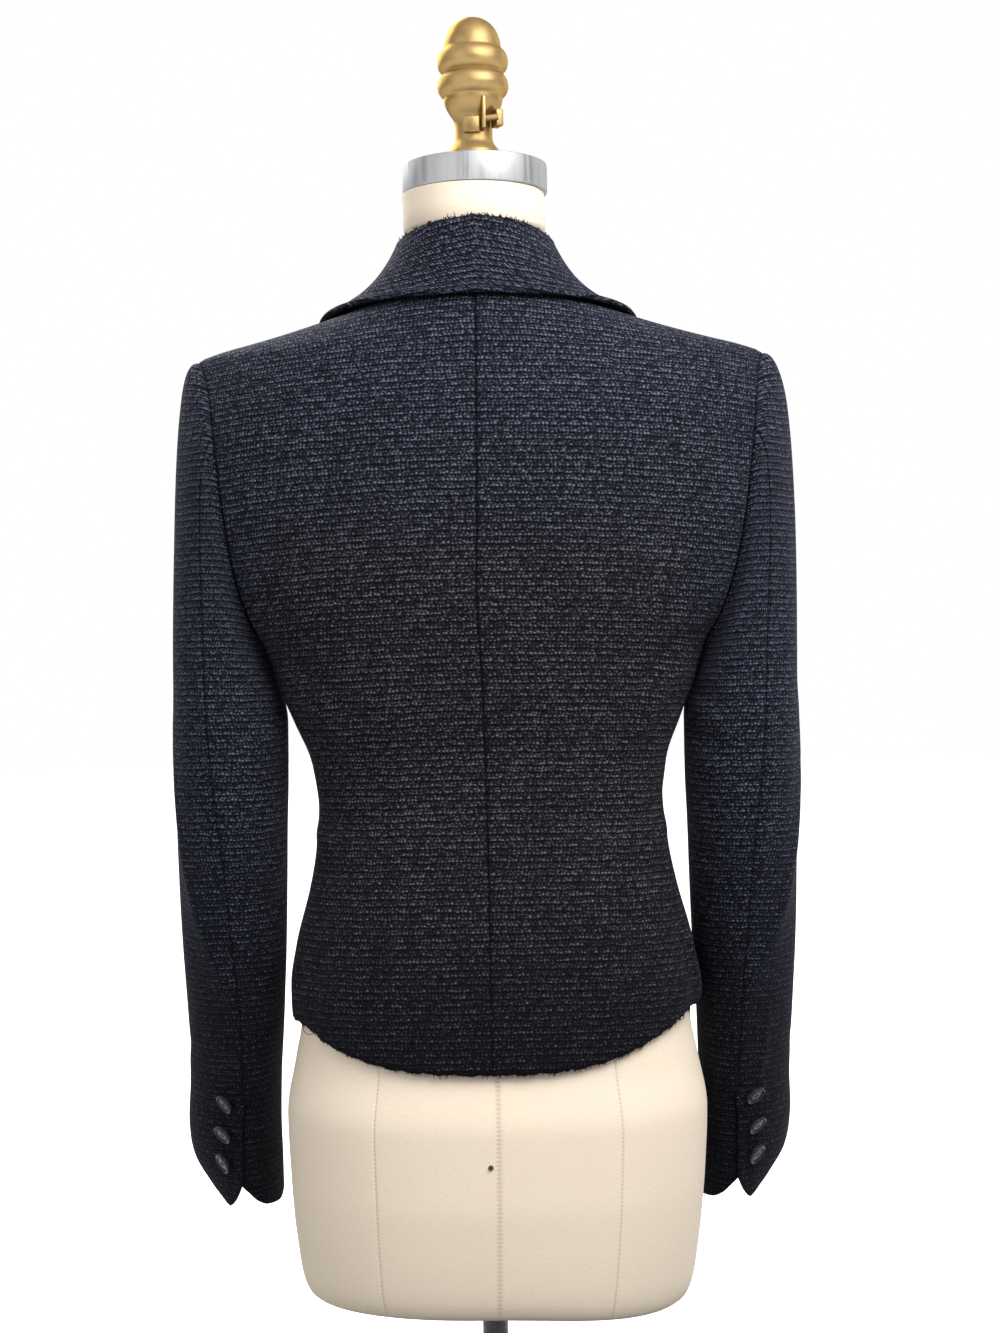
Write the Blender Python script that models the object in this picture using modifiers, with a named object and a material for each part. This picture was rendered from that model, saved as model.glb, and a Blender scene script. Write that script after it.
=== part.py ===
"""A cropped, waisted jacket on a limbless dress form, in metres, +Z up, the jacket's back towards +Y.

The trunk of the jacket is a stack of level rings. Every cloth piece is a wall whose outer face
lies on those rings, or on the rings of a sleeve, and whose inner face lies one cloth thickness in.
Angles run round a ring from the centre back (0) over the wearer's left side (90) to the front (180).
"""

import math

import bmesh
import bpy
import numpy as np
from mathutils import Matrix, Vector

# Driving sizes
CLOTH = 0.0020
SEAM_GAP = 0.0003
FORM_EASE = 0.0036
LAP_LIFT = 0.0034
LAP_ACROSS = (0.022, 0.050)
LAP_UP = (0.600, 0.650)
LAPEL_CLOTH = 0.0018
LAPEL_CLEAR = 0.0005
LAPEL_ROLL = 0.0030
LAPEL_INSET = 0.0015
COLLAR_CLOTH = 0.0020
COLLAR_EDGE_CLOTH = 0.0032
COLLAR_FOOT_OUT = 0.0015
COLLAR_ROLL = 0.0042
COLLAR_BEND = 0.35
BUTTON_RADIUS = 0.0078
BUTTON_HEIGHT = 0.0036
BUTTON_CLEAR = 0.0005

SHOULDER_TIP_Z = 0.8180
UNDERARM_Z = 0.6000
NECKLINE_Z = 0.8620
HEM_BLEND_Z = 0.4000
HEM_BACK_Z = 0.3030
SLEEVE_TOP_Z = 0.5480
CUFF_BLEND_Z = 0.2750
CUFF_LOW_Z = 0.1830

NECK_RADIUS = 0.0502
NECK_TOP_Z = 0.9390
NECK_CENTRE_Y = 0.0050
RING_RADIUS = 0.0541
RING_TOP_Z = 0.9610
FORM_BOTTOM_Z = 0.1270
ROD_RADIUS = 0.0095
BASE_RADIUS = 0.1600
BASE_HEIGHT = 0.0120

SLEEVE_CLEAR = 0.0004
CAP_REACH_LOW = 0.011
CAP_REACH_HIGH = 0.021
CAP_HANG_LOW = 0.018
CAP_HANG_HIGH = 0.183
INNER_SEAM_SPREAD = 6.0
BACK_ARMHOLE_HALF_ANGLE = 26.5
FRONT_ARMHOLE_HALF_ANGLE = 31.0
ARMHOLE_SQUARENESS = 0.6
BACK_SEAM_AT_ARMHOLE = 65.0
FRONT_SEAM = -110.0

# The jacket's trunk: height, half width, depth of the back and of the front, squareness (2 is an
# ellipse, more is squarer)
TRUNK = (
    (0.2900, 0.1480, 0.1120, 0.1030, 2.40),
    (0.3270, 0.1505, 0.1095, 0.1030, 2.40),
    (0.3520, 0.1522, 0.1060, 0.1020, 2.40),
    (0.3820, 0.1478, 0.0995, 0.1000, 2.40),
    (0.4255, 0.1365, 0.0885, 0.0965, 2.35),
    (0.4520, 0.1315, 0.0825, 0.0955, 2.35),
    (0.4840, 0.1285, 0.0785, 0.0965, 2.35),
    (0.5170, 0.1322, 0.0795, 0.1015, 2.35),
    (0.5480, 0.1440, 0.0850, 0.1100, 2.35),
    (0.5750, 0.1550, 0.0905, 0.1180, 2.35),
    (0.6000, 0.1635, 0.0950, 0.1240, 2.35),
    (0.6200, 0.1790, 0.0985, 0.1265, 2.35),
    (0.6400, 0.1905, 0.1010, 0.1270, 2.35),
    (0.6640, 0.2000, 0.1030, 0.1260, 2.35),
    (0.7000, 0.2085, 0.1045, 0.1210, 2.35),
    (0.7330, 0.2130, 0.1030, 0.1140, 2.30),
    (0.7600, 0.2150, 0.1000, 0.1070, 2.20),
    (0.7820, 0.2155, 0.0960, 0.1000, 2.05),
    (0.8000, 0.2150, 0.0910, 0.0935, 1.85),
    (0.8120, 0.2135, 0.0875, 0.0885, 1.70),
    (0.8180, 0.2110, 0.0855, 0.0860, 1.62),
    (0.8245, 0.1950, 0.0835, 0.0830, 1.60),
    (0.8310, 0.1700, 0.0810, 0.0795, 1.62),
    (0.8370, 0.1480, 0.0785, 0.0755, 1.68),
    (0.8445, 0.1220, 0.0755, 0.0700, 1.78),
    (0.8520, 0.0970, 0.0720, 0.0645, 1.90),
    (0.8580, 0.0790, 0.0690, 0.0600, 2.00),
    (0.8640, 0.0665, 0.0660, 0.0560, 2.00),
)

# The front edge of the wearer's left front: height, distance from the middle
FRONT_EDGE = (
    (0.3030, 0.0370),
    (0.3070, 0.0180),
    (0.3180, -0.0010),
    (0.3350, -0.0130),
    (0.3550, -0.0178),
    (0.4000, -0.0180),
    (0.5200, -0.0180),
    (0.5550, -0.0120),
    (0.5850, 0.0000),
    (0.6200, 0.0085),
    (0.6600, 0.0170),
    (0.7000, 0.0245),
    (0.7500, 0.0330),
    (0.8000, 0.0410),
    (0.8300, 0.0460),
    (0.8500, 0.0500),
    (0.8640, 0.0540),
)

# The hem: angle round the ring, height
HEM = (
    (0, 0.3030),
    (22, 0.3050),
    (51, 0.3165),
    (67, 0.3260),
    (90, 0.3290),
    (120, 0.3210),
    (150, 0.3080),
    (168, 0.3000),
    (190, 0.2985),
)

# A sleeve: height, outer side, inner side, middle of its depth, half its depth, squareness (under 2
# its sides are flatter and meet in a crest at the back), shift of the crest
SLEEVE = (
    (0.1800, 0.2100, 0.1592, -0.0500, 0.0470, 1.60, 0.0010),
    (0.1970, 0.2200, 0.1594, -0.0485, 0.0485, 1.60, -0.0030),
    (0.2140, 0.2275, 0.1596, -0.0465, 0.0495, 1.60, -0.0065),
    (0.2300, 0.2308, 0.1601, -0.0450, 0.0500, 1.60, -0.0085),
    (0.2440, 0.2316, 0.1604, -0.0432, 0.0502, 1.60, -0.0092),
    (0.2770, 0.2301, 0.1599, -0.0385, 0.0500, 1.62, -0.0105),
    (0.3085, 0.2303, 0.1582, -0.0328, 0.0500, 1.68, -0.0095),
    (0.3400, 0.2311, 0.1563, -0.0268, 0.0505, 1.75, -0.0075),
    (0.3720, 0.2321, 0.1543, -0.0210, 0.0515, 1.85, -0.0050),
    (0.4255, 0.2333, 0.1521, -0.0130, 0.0545, 2.00, -0.0010),
    (0.4700, 0.2342, 0.1508, -0.0085, 0.0575, 2.08, 0.0000),
    (0.5100, 0.2340, 0.1494, -0.0055, 0.0605, 2.15, 0.0000),
    (0.5480, 0.2336, 0.1492, -0.0040, 0.0630, 2.15, 0.0000),
)

# The cuff's hem: angle round the sleeve (0 is outermost, 90 the back), height
UPPER_CUFF = (
    (-110, 0.2110),
    (-60, 0.2190),
    (-25, 0.2230),
    (0, 0.2200),
    (25, 0.2060),
    (44, 0.1905),
    (58, 0.1830),
    (70, 0.1868),
    (90, 0.2020),
)
UNDER_CUFF = (
    (90, 0.2020),
    (110, 0.1925),
    (122, 0.1860),
    (137, 0.1815),
    (160, 0.1800),
    (180, 0.1840),
    (215, 0.2000),
    (250, 0.2110),
)

# The back seam of a sleeve: height, angle round the sleeve
BACK_SEAM = (
    (0.1800, 90.0),
    (0.4200, 90.0),
    (0.4900, 83.0),
    (0.5480, 76.0),
)

# The collar from the centre back to its front end: the fold's x, y, z; the lower edge's height on
# the trunk, its angle there and its lift off it; the drop of the fall's middle; the stand's height
COLLAR = (
    (0.0000, 0.0603, 0.9100, 0.8530, 0.0, 0.0050, 0.002, 0.0440),
    (0.0283, 0.0520, 0.9100, 0.8520, 24.0, 0.0050, 0.005, 0.0430),
    (0.0466, 0.0340, 0.9098, 0.8500, 52.0, 0.0050, 0.014, 0.0420),
    (0.0542, 0.0060, 0.9085, 0.8470, 90.0, 0.0055, 0.026, 0.0400),
    (0.0560, -0.0220, 0.8960, 0.8380, 124.0, 0.0050, 0.016, 0.0260),
    (0.0560, -0.0480, 0.8730, 0.8260, 144.0, 0.0045, 0.008, 0.0100),
    (0.0535, -0.0680, 0.8480, 0.8140, 154.0, 0.0040, 0.001, 0.0040),
    (0.0455, -0.0880, 0.8180, 0.8020, 158.0, 0.0036, 0.000, 0.0020),
)

# A lapel from the break of the front up: share of its height, outer edge's x, outer edge's z
LAPEL = (
    (0.00, 0.0030, 0.5930),
    (0.15, 0.0220, 0.6180),
    (0.35, 0.0450, 0.6580),
    (0.60, 0.0690, 0.7080),
    (0.85, 0.0900, 0.7540),
    (1.00, 0.1010, 0.7780),
)
LAPEL_FOOT_Z = 0.5940
LAPEL_START = 0.04
LAPEL_ROWS = 10
LAPEL_COLUMNS = 6
GORGE_Z = 0.8120
GORGE_SLOPE = 0.36
NOTCH_X = 0.0680

# The dress form below the hem and at the shoulders: height, half width, back, front, squareness
FORM_HIPS = (
    (0.1270, 0.1330, 0.0930, 0.0830, 2.40),
    (0.1300, 0.1405, 0.1000, 0.0900, 2.40),
    (0.1435, 0.1459, 0.1055, 0.0945, 2.40),
    (0.1645, 0.1493, 0.1085, 0.0970, 2.40),
    (0.1810, 0.1515, 0.1100, 0.0985, 2.40),
    (0.2130, 0.1541, 0.1120, 0.1000, 2.40),
    (0.2600, 0.1562, 0.1120, 0.1005, 2.40),
    (0.3000, 0.1495, 0.1055, 0.0970, 2.40),
)
FORM_SHOULDERS = (
    (0.6000, 0.1570, 0.0890, 0.1175, 2.35),
    (0.6400, 0.1690, 0.0950, 0.1205, 2.30),
    (0.6800, 0.1780, 0.0975, 0.1175, 2.25),
    (0.7200, 0.1830, 0.0975, 0.1100, 2.20),
    (0.7600, 0.1840, 0.0930, 0.0990, 2.05),
    (0.7850, 0.1790, 0.0875, 0.0905, 1.90),
    (0.8050, 0.1670, 0.0820, 0.0820, 1.75),
    (0.8160, 0.1510, 0.0785, 0.0770, 1.70),
    (0.8250, 0.1300, 0.0750, 0.0715, 1.72),
    (0.8330, 0.1070, 0.0710, 0.0650, 1.80),
    (0.8420, 0.0840, 0.0665, 0.0575, 1.95),
    (0.8500, 0.0670, 0.0630, 0.0520, 2.00),
    (0.8600, 0.0560, 0.0590, 0.0480, 2.00),
    (0.8750, 0.0515, 0.0560, 0.0460, 2.00),
    (0.9000, 0.0502, 0.0552, 0.0452, 2.00),
)

# Heights where the form follows the cloth from inside, and where its neck turns round
COVERED_HEIGHTS = (0.327, 0.352, 0.382, 0.4255, 0.452, 0.484, 0.517, 0.548, 0.575)
NECK_TURNS_ROUND = (0.835, 0.880)

# The knob: radius, height
FINIAL = (
    (0.0000, 1.0720),
    (0.0070, 1.0708),
    (0.0140, 1.0665),
    (0.0195, 1.0590),
    (0.0225, 1.0510),
    (0.0236, 1.0460),
    (0.0264, 1.0430),
    (0.0270, 1.0395),
    (0.0258, 1.0355),
    (0.0238, 1.0310),
    (0.0262, 1.0255),
    (0.0268, 1.0215),
    (0.0256, 1.0175),
    (0.0238, 1.0130),
    (0.0216, 1.0070),
    (0.0196, 1.0010),
    (0.0162, 0.9955),
    (0.0146, 0.9895),
    (0.0139, 0.9830),
    (0.0150, 0.9780),
    (0.0175, 0.9745),
    (0.0200, 0.9700),
    (0.0205, 0.9613),
    (0.0000, 0.9613),
)

# A button: share of its radius, share of its height
BUTTON = ((0.0, 0.72), (0.62, 0.72), (0.76, 1.0), (0.92, 0.96), (1.0, 0.60), (0.80, 0.0), (0.0, 0.0))
CUFF_BUTTON_HEIGHTS = (0.2630, 0.2400, 0.2175)
CUFF_BUTTON_ANGLE = 65.0
FRONT_BUTTON_Z = 0.5200

# How finely the walls are divided
HEM_ROWS = (
    (0.303, 0.307, 0.318, 0.335, 0.355, 0.378, 0.404)
    + (0.430, 0.457, 0.484, 0.509, 0.533, 0.556, 0.579)
)
SHOULDER_ROWS = (0.8245, 0.831, 0.837, 0.8445, 0.852, 0.858)
SLEEVE_ROWS = (
    (0.515, 0.480, 0.445, 0.410, 0.375, 0.340, 0.308)
    + (0.280, 0.262, 0.244, 0.228, 0.212, 0.197, 0.183)
)
CAP_SHARES = (0.0, 0.10, 0.24, 0.40, 0.58, 0.78, 1.0)
OUTER_BACK_STATIONS = 6
INNER_BACK_STATIONS = 8
OUTER_FRONT_STATIONS = 8
INNER_FRONT_STATIONS = 5
PANEL_COLUMNS = 9
FORM_SIDES = 28
FORM_ROWS = (
    (0.127, 0.130, 0.1435, 0.175, 0.215, 0.260, 0.300, 0.327, 0.360, 0.395, 0.435, 0.484, 0.525, 0.560)
    + (0.600, 0.645, 0.690, 0.730, 0.765, 0.793, 0.812, 0.824, 0.834, 0.844, 0.854, 0.866, 0.882, 0.900)
)


def smooth_table(rows):
    """A function of the first column that runs through the others smoothly, with no overshoot."""
    data = np.array(rows, float)
    keys, values = data[:, 0], data[:, 1:]
    slopes = np.diff(values, axis=0) / np.diff(keys)[:, None]
    before, after = slopes[:-1], slopes[1:]
    same = before * after > 0
    mean = 2 * before * after / np.where(same, before + after, 1)
    tangents = np.vstack([slopes[:1], np.where(same, mean, 0), slopes[-1:]])

    def at(key):
        key = min(max(key, keys[0]), keys[-1])
        i = min(int(np.searchsorted(keys, key, "right")) - 1, len(keys) - 2)
        width = keys[i + 1] - keys[i]
        t = (key - keys[i]) / width
        return (
            (2 * t**3 - 3 * t**2 + 1) * values[i]
            + (t**3 - 2 * t**2 + t) * width * tangents[i]
            + (3 * t**2 - 2 * t**3) * values[i + 1]
            + (t**3 - t**2) * width * tangents[i + 1]
        )

    return at


def signed_power(value, power):
    return math.copysign(abs(value) ** power, value)


def smoothstep(low, high, value):
    t = min(max((value - low) / (high - low), 0), 1)
    return t * t * (3 - 2 * t)


trunk_at = smooth_table(TRUNK)
front_edge_at = smooth_table(FRONT_EDGE)
hem_at = smooth_table(HEM)
sleeve_at = smooth_table(SLEEVE)
upper_cuff_at = smooth_table(UPPER_CUFF)
under_cuff_at = smooth_table(UNDER_CUFF)
back_seam_at = smooth_table(BACK_SEAM)
lapel_at = smooth_table(LAPEL)


# ---- The trunk's surface


def ring_point(half_width, back, front, squareness, angle):
    across, along = math.sin(math.radians(angle)), math.cos(math.radians(angle))
    depth = back if along > 0 else front
    return half_width * signed_power(across, 2 / squareness), depth * signed_power(along, 2 / squareness)


def trunk_point(z, angle):
    return Vector((*ring_point(*trunk_at(z), angle), z))


def trunk_normal(z, angle):
    up = trunk_point(z + 0.002, angle) - trunk_point(z - 0.002, angle)
    if z > TRUNK[-1][0] - 0.002:
        up = trunk_point(z, angle) - trunk_point(z - 0.004, angle)
    return up.cross(trunk_point(z, angle + 1) - trunk_point(z, angle - 1)).normalized()


def front_angle(z, x):
    """The angle of the ring at height z where the front is x from the middle."""
    half_width, _, _, squareness = trunk_at(z)
    share = signed_power(min(max(x / half_width, -1), 1), squareness / 2)
    return 180 - math.degrees(math.asin(share))


def front_point(z, x, lift):
    """A point of the front, lifted off it."""
    angle = front_angle(z, x)
    return trunk_point(z, angle) + lift * trunk_normal(z, angle)


# ---- The armhole, shared by the trunk and the sleeve


def armhole_height(turn):
    middle, half = (SHOULDER_TIP_Z + UNDERARM_Z) / 2, (SHOULDER_TIP_Z - UNDERARM_Z) / 2
    return middle + half * math.cos(math.radians(turn))


def armhole_angle(turn):
    """The ring angle of the armhole's edge. Turns run from the shoulder (0) over the back (90) and
    the underarm (180) to the front (270)."""
    half_angle = BACK_ARMHOLE_HALF_ANGLE if math.sin(math.radians(turn)) > 0 else -FRONT_ARMHOLE_HALF_ANGLE
    return 90 - half_angle * abs(math.sin(math.radians(turn))) ** ARMHOLE_SQUARENESS


def back_turns():
    outer = np.linspace(0, BACK_SEAM_AT_ARMHOLE, OUTER_BACK_STATIONS)
    inner = np.linspace(BACK_SEAM_AT_ARMHOLE, 180, INNER_BACK_STATIONS)
    return [*outer, *inner[1:]]


def front_turns():
    outer = np.linspace(0, FRONT_SEAM, OUTER_FRONT_STATIONS)
    inner = np.linspace(FRONT_SEAM, -180, INNER_FRONT_STATIONS)
    return [*outer, *inner[1:]]


# ---- Building blocks


def material(name, colour, roughness, metallic=0.0):
    made = bpy.data.materials.new(name)
    made.use_nodes = True
    shader = made.node_tree.nodes["Principled BSDF"]
    shader.inputs["Base Color"].default_value = (*colour, 1)
    shader.inputs["Roughness"].default_value = roughness
    shader.inputs["Metallic"].default_value = metallic
    return made


def add_object(name, mesh, surface):
    mesh.materials.append(surface)
    mesh.shade_smooth()
    mesh.set_sharp_from_angle(angle=math.radians(40))
    made = bpy.data.objects.new(name, mesh)
    bpy.data.collections["jacket_on_form"].objects.link(made)
    return made


def wall(name, outer, inner, surface):
    """A closed wall between two faces, each a grid of points with the same rows and columns."""
    shape = bmesh.new()
    rows, columns = len(outer), len(outer[0])
    front = [[shape.verts.new(point) for point in row] for row in outer]
    back = [[shape.verts.new(point) for point in row] for row in inner]
    for i in range(rows - 1):
        for j in range(columns - 1):
            shape.faces.new((front[i][j], front[i][j + 1], front[i + 1][j + 1], front[i + 1][j]))
            shape.faces.new((back[i][j], back[i + 1][j], back[i + 1][j + 1], back[i][j + 1]))
    rim = [(i, 0) for i in range(rows)] + [(rows - 1, j) for j in range(1, columns)]
    rim += [(i, columns - 1) for i in range(rows - 2, -1, -1)] + [(0, j) for j in range(columns - 2, 0, -1)]
    for (i, j), (k, m) in zip(rim, rim[1:] + rim[:1]):
        shape.faces.new((front[i][j], front[k][m], back[k][m], back[i][j]))
    return finish(name, shape, surface)


def stack(name, rings, surface):
    """A closed solid through level rings, with a flat face at each end."""
    shape = bmesh.new()
    levels = [[shape.verts.new(point) for point in ring] for ring in rings]
    for low, high in zip(levels, levels[1:]):
        for j in range(len(low)):
            k = (j + 1) % len(low)
            shape.faces.new((low[j], low[k], high[k], high[j]))
    shape.faces.new(levels[0])
    shape.faces.new(levels[-1])
    return finish(name, shape, surface)


def finish(name, shape, surface):
    bmesh.ops.recalc_face_normals(shape, faces=shape.faces)
    mesh = bpy.data.meshes.new(name)
    shape.to_mesh(mesh)
    shape.free()
    return add_object(name, mesh, surface)


def turned(name, profile, surface, steps):
    """A solid of revolution about Z, from a profile that runs from the top down its outer side."""
    shape = bmesh.new()
    points = [shape.verts.new((radius, 0, height)) for radius, height in profile]
    for upper, lower in zip(points, points[1:]):
        shape.edges.new((upper, lower))
    mesh = bpy.data.meshes.new(name)
    shape.to_mesh(mesh)
    shape.free()
    made = add_object(name, mesh, surface)
    screw = made.modifiers.new("Turn", "SCREW")
    screw.steps = screw.render_steps = steps
    screw.use_merge_vertices = True
    screw.merge_threshold = 0.00001
    return made


def mirrored(rows):
    return [[Vector((-point.x, point.y, point.z)) for point in row] for row in rows]


# ---- The trunk's four pieces


def hem_height(row_z, angle):
    """Rows near the hem bend with it, and they are level from HEM_BLEND_Z up."""
    if row_z >= HEM_BLEND_Z:
        return row_z
    share = (HEM_BLEND_Z - row_z) / (HEM_BLEND_Z - HEM_BACK_Z)
    return HEM_BLEND_Z - share * (HEM_BLEND_Z - hem_at(angle)[0])


def trunk_rows(turns):
    """(height, ring angle of the outer edge) of each row from the hem to the neckline."""
    sides = [(z, 90.0) for z in HEM_ROWS]
    armhole = [(armhole_height(turn), armhole_angle(turn)) for turn in reversed(turns)]
    shoulder = [(z, 90.0) for z in SHOULDER_ROWS]
    return sides + armhole + shoulder + [(NECKLINE_Z, 90.0)]


def trunk_piece(centre_at, turns, side_step, lift_at):
    """The outer and inner faces of one quarter of the trunk, on the wearer's left."""
    outer, inner = [], []
    for row_z, side in trunk_rows(turns):
        centre = centre_at(row_z)
        outer_row, inner_row = [], []
        for j in range(PANEL_COLUMNS + 1):
            angle = centre + (side - centre) * j / PANEL_COLUMNS
            z = hem_height(row_z, angle)
            point, normal = trunk_point(z, angle), trunk_normal(z, angle)
            lift = lift_at(point)
            face, back = point + lift * normal, point + (lift - CLOTH) * normal
            if j == PANEL_COLUMNS and side == 90.0:
                face.y = back.y = side_step * SEAM_GAP / 2
            outer_row.append(face)
            inner_row.append(back)
        outer.append(outer_row)
        inner.append(inner_row)
    return outer, inner


def make_back(cloth):
    outer, inner = trunk_piece(lambda z: 0.0, back_turns(), 1, lambda point: 0.0)
    for row in outer + inner:
        row[0].x = SEAM_GAP / 2
    wall("back_left", outer, inner, cloth)
    wall("back_right", mirrored(outer), mirrored(inner), cloth)


def lap_lift(point):
    """How far the wearer's right front is lifted where it laps over the left one."""
    return LAP_LIFT * (1 - smoothstep(*LAP_ACROSS, point.x)) * (1 - smoothstep(*LAP_UP, point.z))


def make_fronts(cloth):
    def centre(z):
        return front_angle(z, front_edge_at(z)[0])

    outer, inner = trunk_piece(centre, front_turns(), -1, lambda point: 0.0)
    wall("front_left", outer, inner, cloth)
    outer, inner = trunk_piece(centre, front_turns(), -1, lap_lift)
    wall("front_right", mirrored(outer), mirrored(inner), cloth)


# ---- Collar and lapels


def collar_line(station):
    """The collar's middle line at one station, from the foot of the stand over the fold to the
    lower edge of the fall."""
    fold_x, fold_y, fold_z, edge_z, edge_angle, edge_lift, drop, stand = map(float, station)
    fold = Vector((fold_x, fold_y, fold_z))
    edge = trunk_point(edge_z, edge_angle) + edge_lift * trunk_normal(edge_z, edge_angle)
    out = Vector((fold_x, fold_y - NECK_CENTRE_Y, 0)).normalized()
    foot = fold + out * COLLAR_FOOT_OUT - Vector((0, 0, stand))
    top = fold + out * COLLAR_ROLL / 2 + Vector((0, 0, COLLAR_ROLL / 2))
    start = fold + out * COLLAR_ROLL
    middle = start.lerp(edge, COLLAR_BEND) - Vector((0, 0, drop))
    line = [foot, foot.lerp(fold, 0.5), fold, top, start]
    for share in (0.22, 0.45, 0.68, 0.86, 1.0):
        bend = (1 - share) ** 2 * start + 2 * share * (1 - share) * middle + share**2 * edge
        line.append(bend)
    return line


def make_collar(cloth):
    stations = smooth_table([(i, *row) for i, row in enumerate(COLLAR)])
    count = 2 * (len(COLLAR) - 1) + 1
    half = [collar_line(stations(i / 2)) for i in range(count)]
    other = [[Vector((-p.x, p.y, p.z)) for p in row] for row in half[:0:-1]]
    lines = other + half
    outer, inner = [], []
    for i, line in enumerate(lines):
        outer_row, inner_row = [], []
        for j, point in enumerate(line):
            across = lines[min(i + 1, len(lines) - 1)][j] - lines[max(i - 1, 0)][j]
            along = line[min(j + 1, len(line) - 1)] - line[max(j - 1, 0)]
            normal = across.cross(along).normalized()
            thick = COLLAR_CLOTH + (COLLAR_EDGE_CLOTH - COLLAR_CLOTH) * smoothstep(7, 9, j)
            outer_row.append(point + normal * thick / 2)
            inner_row.append(point - normal * thick / 2)
        outer.append(outer_row)
        inner.append(inner_row)
    wall("collar", outer, inner, cloth)


def lapel_face(share, across, extra):
    """A point over the left front: share up the lapel, and across it from its roll to its edge."""
    inner_z = LAPEL_FOOT_Z + (GORGE_Z - LAPEL_FOOT_Z) * share
    inner_x = front_edge_at(inner_z)[0] - LAPEL_INSET
    outer_x, outer_z = lapel_at(share)
    x = inner_x + (outer_x - inner_x) * across
    straight = inner_z + (outer_z - inner_z) * across
    gorge = GORGE_Z - GORGE_SLOPE * (min(x, NOTCH_X) - inner_x)
    held = min(max((x - inner_x) / (NOTCH_X - inner_x), 0), 1) if NOTCH_X > inner_x else 1
    beyond = min(max((x - NOTCH_X) / (outer_x - NOTCH_X), 0), 1) if outer_x > NOTCH_X else 0
    top = gorge + (outer_z - gorge) * beyond if held >= 1 else gorge
    z = straight + (top - straight) * smoothstep(0.6, 1.0, share)
    roll = LAPEL_ROLL * math.sin(math.pi * min(across / 0.7, 1)) * smoothstep(0.0, 0.3, share)
    return front_point(z, x, LAPEL_CLEAR + LAPEL_CLOTH + roll + extra)


def make_lapels(cloth):
    for name, lifted, flip in (("lapel_left", False, False), ("lapel_right", True, True)):
        outer, inner = [], []
        for i in range(LAPEL_ROWS + 1):
            outer_row, inner_row = [], []
            for j in range(LAPEL_COLUMNS + 1):
                share, across = LAPEL_START + (1 - LAPEL_START) * i / LAPEL_ROWS, j / LAPEL_COLUMNS
                extra = lap_lift(lapel_face(share, across, 0)) if lifted else 0
                outer_row.append(lapel_face(share, across, extra))
                inner_row.append(lapel_face(share, across, extra - LAPEL_CLOTH))
            outer.append(outer_row)
            inner.append(inner_row)
        if flip:
            outer, inner = mirrored(outer), mirrored(inner)
        wall(name, outer, inner, cloth)


# ---- The sleeves


def sleeve_ring(z, turn):
    outer, inner, middle_y, half_depth, squareness, crest = sleeve_at(z)
    centre, half_width = (outer + inner) / 2, (outer - inner) / 2
    side, back = math.cos(math.radians(turn)), math.sin(math.radians(turn))
    across = half_width * signed_power(side, 2 / squareness) + crest * max(back, 0) ** 2
    return Vector((centre + across, middle_y + half_depth * signed_power(back, 2 / squareness), z))


def cap_point(share, start_turn, turn):
    """The sleeve's head: a curve from the armhole out over the shoulder and down to the top ring."""
    start = trunk_point(armhole_height(start_turn), armhole_angle(start_turn))
    start += Vector((SLEEVE_CLEAR, 0, 0))
    end = sleeve_ring(SLEEVE_TOP_Z, turn)
    top = (1 + math.cos(math.radians(turn))) / 2
    out = Vector((0.25 + 0.75 * top, 0.35 * math.sin(math.radians(turn)), 0.12 * top - 0.95 * (1 - top)))
    first = start + out * (CAP_REACH_LOW + (CAP_REACH_HIGH - CAP_REACH_LOW) * top)
    last = end + Vector((0, 0, CAP_HANG_LOW + (CAP_HANG_HIGH - CAP_HANG_LOW) * top))
    rest = 1 - share
    return rest**3 * start + 3 * rest**2 * share * first + 3 * rest * share**2 * last + share**3 * end


def sleeve_point(row, start_turn, turn, cuff_at):
    """A row is ("cap", share down the head) or ("ring", height of a level ring)."""
    if row[0] == "cap":
        return cap_point(row[1], start_turn, turn)
    z = row[1]
    if z < CUFF_BLEND_Z:
        share = (CUFF_BLEND_Z - z) / (CUFF_BLEND_Z - CUFF_LOW_Z)
        z = CUFF_BLEND_Z - share * (CUFF_BLEND_Z - cuff_at(turn)[0])
    return sleeve_ring(z, turn)


def sleeve_turns(row, seam_turns):
    """Turns of one piece's columns on a row: the armhole's own stations, drawn to the back seam."""
    if row[0] == "ring":
        now = back_seam_at(row[1])[0]
    else:
        now = BACK_SEAM_AT_ARMHOLE + row[1] * (BACK_SEAM[-1][1] - BACK_SEAM_AT_ARMHOLE)
    drawn = []
    for turn in seam_turns:
        if 0 <= turn <= BACK_SEAM_AT_ARMHOLE:
            drawn.append(turn * now / BACK_SEAM_AT_ARMHOLE)
        elif BACK_SEAM_AT_ARMHOLE < turn <= 180:
            drawn.append(180 - (180 - turn) * (180 - now) / (180 - BACK_SEAM_AT_ARMHOLE))
        else:
            drawn.append(turn)
    return drawn


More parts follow.
